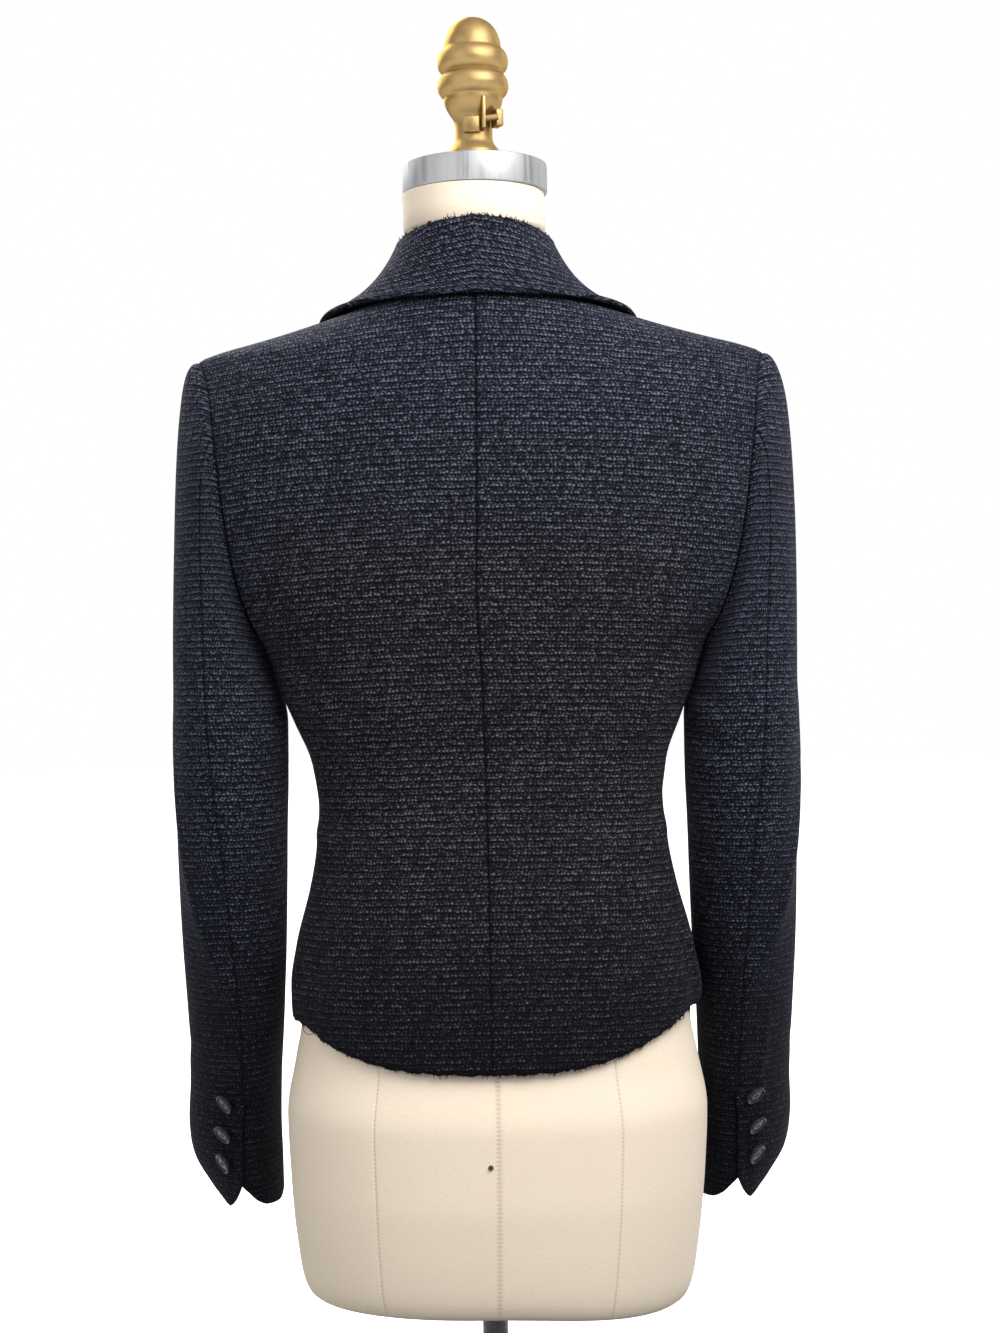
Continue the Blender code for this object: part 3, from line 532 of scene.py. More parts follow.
def new_object(name, mesh, surface, slot, *nodes):
    made = bpy.data.objects.new(name, mesh)
    bpy.context.scene.collection.objects.link(made)
    mesh.materials.append(surface)
    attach(made, "root")
    if nodes:
        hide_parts(*nodes)
    return made


def arc_lengths(points, axis):
    steps = np.linalg.norm(np.diff(points, axis=axis), axis=-1)
    start = np.zeros_like(np.take(steps, [0], axis=axis))
    return np.concatenate([start, np.cumsum(steps, axis=axis)], axis=axis)


def lean(points, column=0):
    """Points shifted as LEAN says, with its first column for the trunk or its second for the sleeves."""
    moved = points.copy()
    moved[..., 0] -= lean_at(points[..., 2])[..., column]
    return moved


def shell_mesh(name, outer, inner, uv, seam):
    """A closed wall between two grids of points, with the cloth's own flat coordinates in metres and
    how much each point of the outer face is darkened near its seams and edges, as painted shade in
    the seams, beside the vent and along the lapels' edges."""
    rows, columns = outer.shape[:2]
    points = np.concatenate([outer.reshape(-1, 3), inner.reshape(-1, 3)])
    flat = np.concatenate([uv.reshape(-1, 2), uv.reshape(-1, 2)])
    index = np.arange(rows * columns).reshape(rows, columns)
    quads = np.stack([index[:-1, :-1], index[:-1, 1:], index[1:, 1:], index[1:, :-1]], axis=-1)
    quads = quads.reshape(-1, 4)
    back = quads[:, ::-1] + rows * columns
    rim = np.concatenate([index[:, 0], index[-1, 1:], index[-2::-1, -1], index[0, -2:0:-1]])
    after = np.roll(rim, -1)
    edge = np.stack([rim, after, after + rows * columns, rim + rows * columns], axis=-1)
    faces = np.concatenate([quads, back, edge])
    return mesh_of(name, points, faces, flat, np.concatenate([seam.ravel(), 0 * seam.ravel()]))


def mesh_of(name, points, faces, flat, seam):
    mesh = bpy.data.meshes.new(name)
    mesh.from_pydata(points.tolist(), [], faces if isinstance(faces, list) else faces.tolist())
    layer = mesh.uv_layers.new(name="cloth")
    loops = np.empty(len(mesh.loops), np.int32)
    mesh.loops.foreach_get("vertex_index", loops)
    layer.data.foreach_set("uv", flat[loops].astype(np.float32).ravel())
    near = mesh.attributes.new("seam", "FLOAT", "POINT")
    near.data.foreach_set("value", seam.astype(np.float32))
    shape = bmesh.new()
    shape.from_mesh(mesh)
    bmesh.ops.recalc_face_normals(shape, faces=shape.faces)
    shape.to_mesh(mesh)
    shape.free()
    mesh.shade_smooth()
    return mesh


def cloth_piece(node, outer, inner, uv, seam):
    mesh = shell_mesh(f"{node}_cloth", outer, inner, uv, seam)
    return new_object(mesh.name, mesh, wool, "cloth", node)


def mirror(points, side):
    flipped = points.copy()
    flipped[..., 0] *= side
    return flipped


def turned_mesh(name, profile, steps, centre=(0, 0), smooth_angle=35):
    """A solid of revolution about Z, from a profile that runs from the top down its outer side."""
    shape = bmesh.new()
    rings = []
    for radius, height in profile:
        if radius < 1e-7:
            rings.append([shape.verts.new((centre[0], centre[1], height))])
            continue
        ring = []
        for k in range(steps):
            turn = 2 * math.pi * k / steps
            x, y = centre[0] + radius * math.cos(turn), centre[1] + radius * math.sin(turn)
            ring.append(shape.verts.new((x, y, height)))
        rings.append(ring)
    for high, low in zip(rings, rings[1:]):
        for k in range(steps):
            m = (k + 1) % steps
            corners = [high[k % len(high)], low[k % len(low)], low[m % len(low)], high[m % len(high)]]
            corners = list(dict.fromkeys(corners))
            if len(corners) > 2:
                shape.faces.new(corners)
    bmesh.ops.recalc_face_normals(shape, faces=shape.faces)
    mesh = bpy.data.meshes.new(name)
    shape.to_mesh(mesh)
    shape.free()
    mesh.shade_smooth()
    mesh.set_sharp_from_angle(angle=math.radians(smooth_angle))
    return mesh


def add_rod(shape, segments, radius, length, where):
    bmesh.ops.create_cone(
        shape, segments=segments, radius1=radius, radius2=radius, depth=length, cap_ends=True, matrix=where
    )


# ---- Materials


class Nodes:
    """A small helper that adds nodes to a material and joins them."""

    def __init__(self, name, roughness, metallic=0.0, specular=0.5):
        self.material = bpy.data.materials.new(name)
        self.material.use_nodes = True
        self.tree = self.material.node_tree
        self.shader = self.tree.nodes["Principled BSDF"]
        self.shade(Roughness=roughness, Metallic=metallic, Specular_IOR_Level=specular)

    def shade(self, **values):
        for key, value in values.items():
            self.shader.inputs[key.replace("_", " ")].default_value = value

    def add(self, kind, settings=None, **inputs):
        node = self.tree.nodes.new(kind)
        for key, value in (settings or {}).items():
            setattr(node, key, value)
        for key, value in inputs.items():
            socket = node.inputs[int(key[1:])] if key[1:].isdigit() else node.inputs[key.replace("_", " ")]
            if isinstance(value, bpy.types.NodeSocket):
                self.tree.links.new(value, socket)
            else:
                socket.default_value = value
        return node

    def maths(self, operation, a, b=0.0):
        return self.add("ShaderNodeMath", {"operation": operation}, i0=a, i1=b).outputs[0]

    def times(self, a, b):
        return self.maths("MULTIPLY", a, b)

    def plus(self, a, b):
        return self.maths("ADD", a, b)

    def vector(self, operation, **inputs):
        return self.add("ShaderNodeVectorMath", {"operation": operation}, **inputs).outputs

    def cloth_uv(self):
        return self.add("ShaderNodeUVMap", {"uv_map": "cloth"}).outputs[0]

    def near_seam(self):
        return self.add("ShaderNodeAttribute", {"attribute_name": "seam"}).outputs["Fac"]

    def place(self):
        return self.add("ShaderNodeTexCoord").outputs["Object"]

    def split(self, vector):
        return self.add("ShaderNodeSeparateXYZ", Vector=vector).outputs

    def ramp(self, value, low, high, low_to=0.0, high_to=1.0):
        node = self.add("ShaderNodeMapRange", {"interpolation_type": "SMOOTHSTEP"}, Value=value)
        for key, number in (("From Min", low), ("From Max", high), ("To Min", low_to), ("To Max", high_to)):
            node.inputs[key].default_value = number
        return node.outputs[0]

    def mix(self, share, first, second):
        node = self.add("ShaderNodeMix", {"data_type": "RGBA"})
        for socket, value in ((node.inputs[0], share), (node.inputs[6], first), (node.inputs[7], second)):
            if isinstance(value, bpy.types.NodeSocket):
                self.tree.links.new(value, socket)
            else:
                socket.default_value = value if isinstance(value, float) else (*value, 1)
        return node.outputs[2]

    def noise(self, vector, scale, detail=2.0, roughness=0.5):
        return self.add(
            "ShaderNodeTexNoise", Vector=vector, Scale=scale, Detail=detail, Roughness=roughness
        ).outputs[0]

    def scaled(self, vector, scale):
        return self.add("ShaderNodeMapping", Vector=vector, Scale=scale).outputs[0]

    def bump(self, height, strength, distance):
        node = self.add("ShaderNodeBump", Height=height, Strength=strength, Distance=distance)
        self.link(node.outputs[0], "Normal")

    def link(self, value, socket):
        self.tree.links.new(value, self.shader.inputs[socket])


def wool_material():
    """Dark crepe wool: uneven rows of pebbly loops over a near-black ground, with painted light that makes
    the loops lighter high up and darker low down.
    """
    n = Nodes("dark_wool", 0.88, specular=0.05)
    uv = n.cloth_uv()
    wander = n.add("ShaderNodeTexNoise", Vector=n.scaled(uv, WANDER_SCALE), Scale=1.0, Detail=3.0).outputs[1]
    centred = n.vector("SUBTRACT", i0=wander, i1=(0.5, 0.5, 0.5))[0]
    pushed = n.vector("SCALE", i0=centred, Scale=WANDER_REACH)[0]
    cloth = n.vector("ADD", i0=uv, i1=pushed)[0]
    # Two lines of loops to a row, the second one lower and darker, each line shifted by its own amount
    across, up, _ = n.split(cloth)
    line = n.times(up, 2 / ROW_PITCH)
    phase = n.times(up, 2 * math.pi / ROW_PITCH)
    rows = n.times(n.plus(n.maths("COSINE", phase), 1.0), 0.5)
    whole = n.maths("ROUND", line)
    own = n.add("ShaderNodeTexWhiteNoise", {"noise_dimensions": "1D"}, W=whole).outputs["Value"]
    along = n.plus(n.times(across, 1 / LOOP_PITCH), n.times(own, LINE_SHIFT))
    grid = n.add("ShaderNodeCombineXYZ", X=along, Y=n.plus(line, 0.5)).outputs[0]
    cells = n.add(
        "ShaderNodeTexVoronoi", {"feature": "F1"}, Vector=grid, Scale=1.0, Randomness=LOOP_RANDOMNESS
    )
    loop = n.ramp(cells.outputs[0], *LOOP_EDGE)
    tone = n.add("ShaderNodeSeparateColor", Color=cells.outputs[1]).outputs[0]
    fine = n.noise(n.scaled(cloth, FINE_SCALE), 1.0, 2.0)
    broad = n.noise(n.scaled(uv, BROAD_SCALE), 1.0, 3.0)
    bright = n.times(n.plus(loop, 0.05), n.ramp(rows, *ROW_TONE))
    bright = n.times(bright, n.ramp(tone, *LOOP_TONE))
    bright = n.times(bright, n.ramp(fine, *FINE_TONE))
    bright = n.times(bright, n.ramp(broad, *BROAD_TONE))
    # The upper back and the sleeves look bluer, the lower back more neutral
    x, _, z = n.split(n.place())
    aside = n.ramp(n.maths("ABSOLUTE", x), *BLUE_ASIDE)
    blue = n.maths("MAXIMUM", aside, n.ramp(z, *BLUE_ABOVE))
    light = n.mix(blue, WOOL_NEUTRAL, WOOL_BLUE)
    # Painted light from above: the loops keep their full brightness above the waist and fall to about a
    # quarter of it at the hem and the cuffs
    bright = n.times(bright, n.ramp(z, *WOOL_PAINTED_LIGHT))
    # Painted shade: the cloth darkens near its seams, beside the vent and along the lapels' edges, and its
    # raw edges darken to the same colour
    seam = n.near_seam()
    n.link(n.mix(n.times(seam, 0.92), n.mix(bright, WOOL_DARK, light), SEAM_PAINTED_SHADE), "Base Color")
    height = n.plus(n.times(loop, 0.8), n.times(rows, 0.35))
    height = n.plus(height, n.times(fine, 0.22))
    n.bump(height, 0.80, WOOL_RELIEF)
    n.shade(Sheen_Weight=0.025, Sheen_Roughness=0.55, Sheen_Tint=(0.62, 0.66, 0.80, 1))
    return n.material


def linen_material():
    """Cream linen canvas with a fine plain weave and a few thicker yarns."""
    n = Nodes("cream_linen", 0.88, specular=0.25)
    uv = n.cloth_uv()
    across, up, _ = n.split(uv)
    warp = n.maths("SINE", n.times(across, 2 * math.pi / LINEN_PITCH))
    weft = n.maths("SINE", n.times(up, 2 * math.pi / LINEN_PITCH))
    weave = n.times(warp, weft)
    slubs = n.noise(n.scaled(uv, SLUB_SCALE), 1.0, 3.0)
    broad = n.noise(n.scaled(uv, LINEN_BROAD_SCALE), 1.0, 3.0)
    colour = n.mix(n.ramp(slubs, 0.42, 0.80), LINEN_LIGHT, LINEN_DARK)
    colour = n.mix(n.ramp(broad, 0.35, 0.75, 0.0, 0.30), colour, LINEN_ROSE)
    stitch = n.maths("SINE", n.times(up, 2 * math.pi / LINEN_STITCH))
    stitch = n.ramp(stitch, -0.4, 0.4, 0.35, 1.0)
    seam = n.near_seam()
    n.link(n.mix(n.times(seam, n.times(stitch, 0.8)), colour, LINEN_SEAM), "Base Color")
    height = n.plus(n.times(weave, 0.35), n.times(slubs, 0.5))
    n.bump(height, 0.20, FINE_RELIEF)
    n.shade(Sheen_Weight=0.12)
    return n.material


def simple_material(
    name, colours, roughness, metallic, scale, strength, stretch=(1, 1, 1), specular=0.5, tint=(1, 1, 1)
):
    """Yarn, metal or plastic: two near colours, mixed by noise, and a fine relief."""
    n = Nodes(name, roughness, metallic, specular)
    grain = n.noise(n.scaled(n.place(), stretch), scale, 4.0)
    n.link(n.mix(n.ramp(grain, 0.35, 0.65), *colours), "Base Color")
    n.link(n.ramp(grain, 0.3, 0.7, roughness * 0.8, min(roughness * 1.25, 1.0)), "Roughness")
    n.bump(grain, strength, FINE_RELIEF)
    n.shade(Specular_Tint=(*tint, 1))
    return n.material


# The wool's rows and loops, and how far noise pushes them about
ROW_PITCH = 0.0049
LOOP_PITCH = 0.0028
LINE_SHIFT = 7.3
LOOP_RANDOMNESS = 0.42
WANDER_SCALE = (70, 70, 1)
WANDER_REACH = 0.0022
FINE_SCALE = (900, 1100, 1)
BROAD_SCALE = (12, 12, 1)
WOOL_RELIEF = 0.0009
# Ramps: from, to, and the values at those ends where they aren't 0 and 1
LOOP_EDGE = (0.54, 0.10)
ROW_TONE = (0.10, 0.80, 0.26, 1.06)
LOOP_TONE = (0.0, 1.0, 0.60, 1.45)
FINE_TONE = (0.30, 0.70, 0.35, 1.70)
BROAD_TONE = (0.30, 0.70, 0.95, 1.06)
BLUE_ASIDE = (0.11, 0.19)
BLUE_ABOVE = (0.60, 0.80)
# The wool's painted light from above: the heights between which it rises, and its strength below and above
# them
WOOL_PAINTED_LIGHT = (0.27, 0.57, 0.24, 1.0)
# Colours
# The colour of the painted shade in the seams, which the raw edges darken to as well
SEAM_PAINTED_SHADE = (0.0011, 0.0012, 0.0018)
WOOL_DARK = (0.0018, 0.0020, 0.0034)
WOOL_NEUTRAL = (0.121, 0.122, 0.139)
WOOL_BLUE = (0.114, 0.123, 0.184)
# The linen's threads and seam stitches, its slubs and patches, and the finest relief
LINEN_PITCH = 0.0011
LINEN_STITCH = 0.0030
SLUB_SCALE = (900, 420, 1)
LINEN_BROAD_SCALE = (9, 9, 1)
FINE_RELIEF = 0.0003
LINEN_LIGHT = (0.87, 0.745, 0.595)
LINEN_DARK = (0.79, 0.665, 0.52)
LINEN_ROSE = (0.81, 0.67, 0.55)
LINEN_SEAM = (0.56, 0.46, 0.35)
YARN_COLOURS = ((0.0030, 0.0032, 0.0045), (0.0060, 0.0064, 0.0090))
BUTTON_COLOURS = ((0.007, 0.0075, 0.0095), (0.015, 0.0155, 0.018))
STEEL_COLOURS = ((0.33, 0.334, 0.34), (0.40, 0.404, 0.41))
GOLD_COLOURS = ((0.310, 0.206, 0.084), (0.355, 0.243, 0.105))
BLACK_COLOURS = ((0.012, 0.012, 0.013), (0.022, 0.022, 0.024))

wool = wool_material()
yarn = simple_material("wool_yarn", YARN_COLOURS, 0.9, 0.0, 900, 0.1, specular=0.1)
linen = linen_material()
button_surface = simple_material("dark_button", BUTTON_COLOURS, 0.34, 0.0, 260, 0.15, specular=0.16)
steel = simple_material(
    "brushed_metal", STEEL_COLOURS, 0.52, 1.0, 12, 0.04, stretch=(30, 30, 1), tint=(0.5, 0.5, 0.5)
)
gold = simple_material("gold_paint", GOLD_COLOURS, 0.42, 0.8, 60, 0.06, tint=(0.62, 0.46, 0.25))
black = simple_material("black_metal", BLACK_COLOURS, 0.45, 0.2, 300, 0.2)


# ---- Raw edges

# Tufts a metre, ends in a tuft, length, radius, spread
HEM_FRAY = (620, 3, 0.0024, 0.00026, 0.75)
COLLAR_FRAY = (760, 4, 0.0025, 0.00032, 0.80)
CUFF_FRAY = (260, 2, 0.0011, 0.00014, 0.70)
FRAY_STEPS = 4
# How far ends stray along the edge and out of it, and how deep in the cloth they start
END_STRAY = 0.0004
ROOT_STRAY = 0.0006
ROOT_DEPTH = 0.0008


def fray(name, outer, inner, edge, within, amount):
    """Loose ends of yarn along the row numbered edge, away from the row numbered within."""
    line = (outer[edge] + inner[edge]) / 2
    return loose_ends(name, line, unit(outer[edge] - outer[within]), unit(outer[edge] - inner[edge]), amount)


def loose_ends(name, line, out, facing, amount):
    tufts_a_metre, ends, length, radius, spread = amount
    arc = arc_lengths(line, 0)
    tufts = max(int(arc[-1] * tufts_a_metre), 1)
    chance = np.random.default_rng(len(name) * 7 + tufts)
    at = np.repeat(arc[-1] * chance.random(tufts), ends) + END_STRAY * chance.standard_normal(tufts * ends)
    at = np.clip(at, 0, arc[-1])

    def along(values):
        return np.stack([np.interp(at, arc, values[:, k]) for k in range(3)], axis=-1)

    count = len(at)
    sideways = unit(np.gradient(line, axis=0))
    tuft_turn = np.repeat(chance.standard_normal((tufts, 2)), ends, axis=0)
    turn = spread * (tuft_turn + 0.5 * chance.standard_normal((count, 2)))
    aim = unit(along(out) + turn[:, :1] * along(sideways) * 0.8 + turn[:, 1:] * along(facing) * 0.5)
    bend = chance.standard_normal((count, 3)) * 0.45 - np.array((0, 0, 0.25))
    reach = length * (0.35 + 0.9 * chance.random((count, 1)) ** 1.5)
    root = along(line) + along(facing) * ROOT_STRAY * chance.standard_normal((count, 1)) - aim * ROOT_DEPTH
    across = unit(np.cross(aim, along(facing) + 0.01))
    other = np.cross(aim, across)
    share = np.linspace(0, 1, FRAY_STEPS)[None, :, None]
    middle = root[:, None] + (aim * reach)[:, None] * share + (bend * reach)[:, None] * 0.5 * share**2
    corner = np.radians(np.array((0, 120, 240)))[None, None, :, None]
    ring = np.cos(corner) * across[:, None, None] + np.sin(corner) * other[:, None, None]
    points = middle[:, :, None] + ring * radius * (1.15 - 0.75 * share[..., None])
    index = np.arange(count * FRAY_STEPS * 3).reshape(count, FRAY_STEPS, 3)
    after = np.roll(index, -1, axis=2)
    sides = np.stack([index[:, :-1], after[:, :-1], after[:, 1:], index[:, 1:]], axis=-1).reshape(-1, 4)
    caps = np.concatenate([index[:, 0, ::-1], index[:, -1]])
    mesh = bpy.data.meshes.new(name)
    mesh.from_pydata(points.reshape(-1, 3).tolist(), [], sides.tolist() + caps.tolist())
    mesh.shade_smooth()
    return new_object(name, mesh, yarn, "cloth")


# ---- The trunk's cloth

TRUNK_COLUMNS = 96
# The weave's rows drop to the sides by this times the square of the distance from the middle
ROW_SAG = 0.22
# A faint dart in each back piece: its turn from the centre back, the heights between which it fades
# in and then out, and its strength beside a seam's
DART_TURN = 31.0
DART = (0.335, 0.360, 0.470, 0.520)
DART_STRENGTH = 0.6
# How much higher the hem hangs beside each hip
HEM_RAISED = {"left": 0.0040, "right": 0.0100}
# Heights over which the rows begin to follow the shoulder, and the armhole's seam gets shallow
SHOULDER_SLOPE = (0.70, 0.80)
SHALLOW_SEAM = (0.70, 0.79)
RAW_EDGE_DEPTH = 0.0009
RAW_EDGE_WIDTH = 0.0012
HEM_DARK_WIDTH = 0.0026


def hem_height(row_z, angle, raised):
    """Rows near the hem bend with it, and they are level from HEM_BLEND_Z up."""
    share = np.clip((HEM_BLEND_Z - row_z) / (HEM_BLEND_Z - HEM_BACK_Z), 0, None)
    crooked = raised * smoothstep(6, 60, angle) * (1 - smoothstep(90, 150, angle))
    hem = hem_at(angle)[..., 0] + crooked + 0.0005 * np.sin(angle * 0.9) + 0.0003 * np.sin(angle * 2.3 + 1)
    return np.where(share > 0, HEM_BLEND_Z - share * (HEM_BLEND_Z - hem), row_z)


def trunk_rows(turns):
    """(height, ring angle of the outer edge) of each row from the hem to the neckline."""
    sides = HEM_BACK_Z + (UNDERARM_Z - HEM_BACK_Z) * np.linspace(0, 1, 100)[:-1] ** 1.06
    shoulder = np.linspace(SHOULDER_TIP_Z, NECKLINE_Z, 19)[1:]
    heights = np.concatenate([sides, armhole_height(turns), shoulder])
    edges = np.concatenate([np.full(len(sides), 90.0), armhole_angle(turns), np.full(len(shoulder), 90.0)])
    return heights, edges


def armhole_seam_share(z):
    """How much of its dip the armhole's seam keeps: it is shallow over the shoulder."""
    return 0.7 - 0.5 * smoothstep(*SHALLOW_SEAM, z)


def dart_share(z):
    low, fade_in, fade_out, high = DART
    return DART_STRENGTH * (smoothstep(low, fade_in, z) * (1 - smoothstep(fade_out, high, z)))


def trunk_piece(centre_at, turns, side_step, lift_at, word, inner_seam):
    """A back piece, with its centre seam and its dart, or else a front."""
    heights, edges = trunk_rows(turns)
    centre = centre_at(heights)
    angle = centre[:, None] + (edges - centre)[:, None] * edged(TRUNK_COLUMNS + 1)
    z = hem_height(heights[:, None], angle, HEM_RAISED[word])
    points, normals = trunk_point(z, angle), trunk_normal(z, angle)
    across, down = arc_lengths(points, 1), arc_lengths(points, 0)
    # Over the shoulder the cloth's rows follow its slope
    steps = np.diff(points, axis=0)
    extra = np.hypot(steps[..., 1], steps[..., 2]) - np.abs(steps[..., 2])
    sloped = np.cumsum(extra * smoothstep(*SHOULDER_SLOPE, z[1:]), axis=0)
    height = z + np.concatenate([0 * sloped[:1], sloped])
    uv = np.stack([across, height + ROW_SAG * points[..., 0] ** 2], axis=-1)
    armhole = (edges != 90.0)[:, None]
    rest = across[:, -1:] - across
    folds_here = folded(angle, z, TRUNK_DEGREE, TRUNK_FOLDS[word])
    folds_here *= np.where(armhole, smoothstep(0.0, 0.018, rest), 1.0)
    lift = lift_at(points) + folds_here
    dip = np.where(armhole, armhole_seam_share(z), 1.0) * seam_relief(rest)
    dip += seam_relief(across) if inner_seam else -RAW_EDGE_DEPTH * bell(across, RAW_EDGE_WIDTH)
    dip -= RAW_EDGE_DEPTH * bell(down, RAW_EDGE_WIDTH)
    # Painted shade along the seam at the piece's outer edge
    seam = 0.55 * seam_line(rest)
    if inner_seam:
        from_dart = np.abs(angle - DART_TURN)
        dip += dart_share(z) * seam_relief(from_dart * TRUNK_DEGREE)
        # The painted shade of the centre seam is darkest above the hem
        seam = np.maximum(seam, (0.55 + 0.45 * smoothstep(0.34, 0.38, z)) * seam_line(across))
        # A fainter painted shade along the dart
        seam = np.maximum(seam, dart_share(z) * seam_line(1.2 * from_dart * TRUNK_DEGREE))
    seam = np.maximum(seam, bell(down, HEM_DARK_WIDTH, 4))
    outer = points + (lift + dip)[..., None] * normals
    inner = points + (lift - CLOTH)[..., None] * normals
    side = edges == 90.0
    outer[side, -1, 1] = side_step * SEAM_GAP / 2
    inner[side, -1, 1] = -side_step * SEAM_GAP / 2
    return outer, inner, uv, seam


# Where the lap's lift fades, in distance from the middle and in height
LAP_ACROSS = (0.022, 0.050)
LAP_UP = (0.600, 0.650)


def no_lift(points):
    return np.zeros(points.shape[:-1])


def lap_lift(points):
    """How far the wearer's right front is lifted where it laps over the left one."""
    lift = LAP_LIFT * (1 - smoothstep(*LAP_ACROSS, points[..., 0]))
    return lift * (1 - smoothstep(*LAP_UP, points[..., 2]))


ARMHOLE_TURNS = 90
back_stations = np.linspace(180, 0, ARMHOLE_TURNS)
front_stations = np.linspace(-180, 0, ARMHOLE_TURNS)


def front_centre(z):
    return front_angle(z, front_edge_at(z)[..., 0])


def make_trunk():
    for side, word in SIDES:

        def back_centre(z):
            x = side * (centre_seam_at(z)[..., 0] + lean_at(z)[..., 0])
            return 180 - front_angle(z, x)

        outer, inner, uv, seam = trunk_piece(back_centre, back_stations, 1, no_lift, word, True)
        outer[:, 0, 0] += SEAM_GAP / 2
        inner[:, 0, 0] -= SEAM_GAP / 2
        uv[..., 0] *= side
        add_trunk_cloth(f"back_{word}", outer, inner, side, uv, seam)
        lift = lap_lift if side < 0 else no_lift
        outer, inner, uv, seam = trunk_piece(front_centre, front_stations, -1, lift, word, False)
        uv[..., 0] *= side
        add_trunk_cloth(f"front_{word}", outer, inner, side, uv, seam)


def add_trunk_cloth(node, outer, inner, side, uv, seam):
    outer, inner = lean(mirror(outer, side)), lean(mirror(inner, side))
    piece = cloth_piece(node, outer, inner, uv, seam)
    ends = fray(f"{node}_hem_ends", outer, inner, 0, 1, HEM_FRAY)


# A thread that has come loose from the hem under the wearer's left side
LOOSE_THREAD = (
    (0.1290, 0.0600, 0.3390),
    (0.1322, 0.0660, 0.3352),
    (0.1337, 0.0690, 0.3310),
    (0.1318, 0.0700, 0.3276),
    (0.1284, 0.0705, 0.3268),
    (0.1262, 0.0690, 0.3292),
    (0.1270, 0.0650, 0.3325),
)
THREAD_RADIUS = 0.00022


def make_loose_thread():
    path = smooth_table([(i, *point) for i, point in enumerate(LOOSE_THREAD)])
    line = path(np.linspace(0, len(LOOSE_THREAD) - 1, 49))
    ahead = unit(np.gradient(line, axis=0))
    side = unit(np.cross(ahead, (0.0, 1.0, 0.0)))
    turns = np.linspace(0, 2 * math.pi, 9)[:-1, None]
    round_it = np.cos(turns) * side[:, None] + np.sin(turns) * np.cross(ahead, side)[:, None]
    points = line[:, None] + THREAD_RADIUS * round_it
    index = np.arange(len(line) * len(turns)).reshape(len(line), len(turns))
    after = np.roll(index, -1, axis=1)
    faces = np.stack([index[:-1], index[1:], after[1:], after[:-1]], axis=-1).reshape(-1, 4).tolist()
    faces += [index[0].tolist(), index[-1][::-1].tolist()]
    flat = np.zeros((points.size // 3, 2))
    mesh = mesh_of("loose_thread", points.reshape(-1, 3), faces, flat, flat[:, 0])
    new_object(mesh.name, mesh, yarn, "cloth")


# ---- Collar and lapels


COLLAR_STATIONS = 101
# Columns of the collar: the stand, the roll of its fold, and the fall
STAND_COLUMNS = 8
ROLL_COLUMNS = 7
FALL_SHARES = np.concatenate([np.linspace(0, 0.84, 26), np.linspace(0.84, 1, 15)[1:]])
FOLD_TOP = STAND_COLUMNS + ROLL_COLUMNS // 2
# How far the stand goes on inside the neckline, and how much of that it moves out
COLLAR_TUCK = 0.0090
COLLAR_TUCK_OUT = 0.34
COLLAR_WAVE = 0.0007
COLLAR_ROW_SAG = 0.3
# Stations at each end of the fold that have no frayed ends
COLLAR_PLAIN = 20


def collar_line(station):
    fold_x, fold_y, fold_z, edge_z, edge_angle, edge_lift, drop, stand = map(float, station)
    fold = np.array((fold_x, fold_y, fold_z))
    edge = trunk_point(edge_z, edge_angle) + edge_lift * trunk_normal(edge_z, edge_angle)
    out = unit(np.array((fold_x, fold_y - NECK_CENTRE_Y, 0)))
    up = np.array((0, 0, 1.0))
    # The stand goes on a little inside the neckline
    tuck = COLLAR_TUCK * float(smoothstep(0.006, 0.022, np.array(stand)))
    foot = fold + out * (COLLAR_FOOT_OUT + COLLAR_TUCK_OUT * tuck) - up * (stand + tuck)
    start = fold + out * COLLAR_ROLL
    middle = start + (edge - start) * COLLAR_BEND - up * drop
    line = [foot + (fold - foot) * share for share in np.linspace(0, 1, STAND_COLUMNS + 1)[:-1]]
    for turn in np.linspace(180, 0, ROLL_COLUMNS):
        turned = math.radians(turn)
        bend = COLLAR_ROLL / 2 * (out * (1 + math.cos(turned)) + up * math.sin(turned))
        line.append(fold + bend)
    for share in FALL_SHARES[1:]:
        line.append((1 - share) ** 2 * start + 2 * share * (1 - share) * middle + share**2 * edge)
    return line


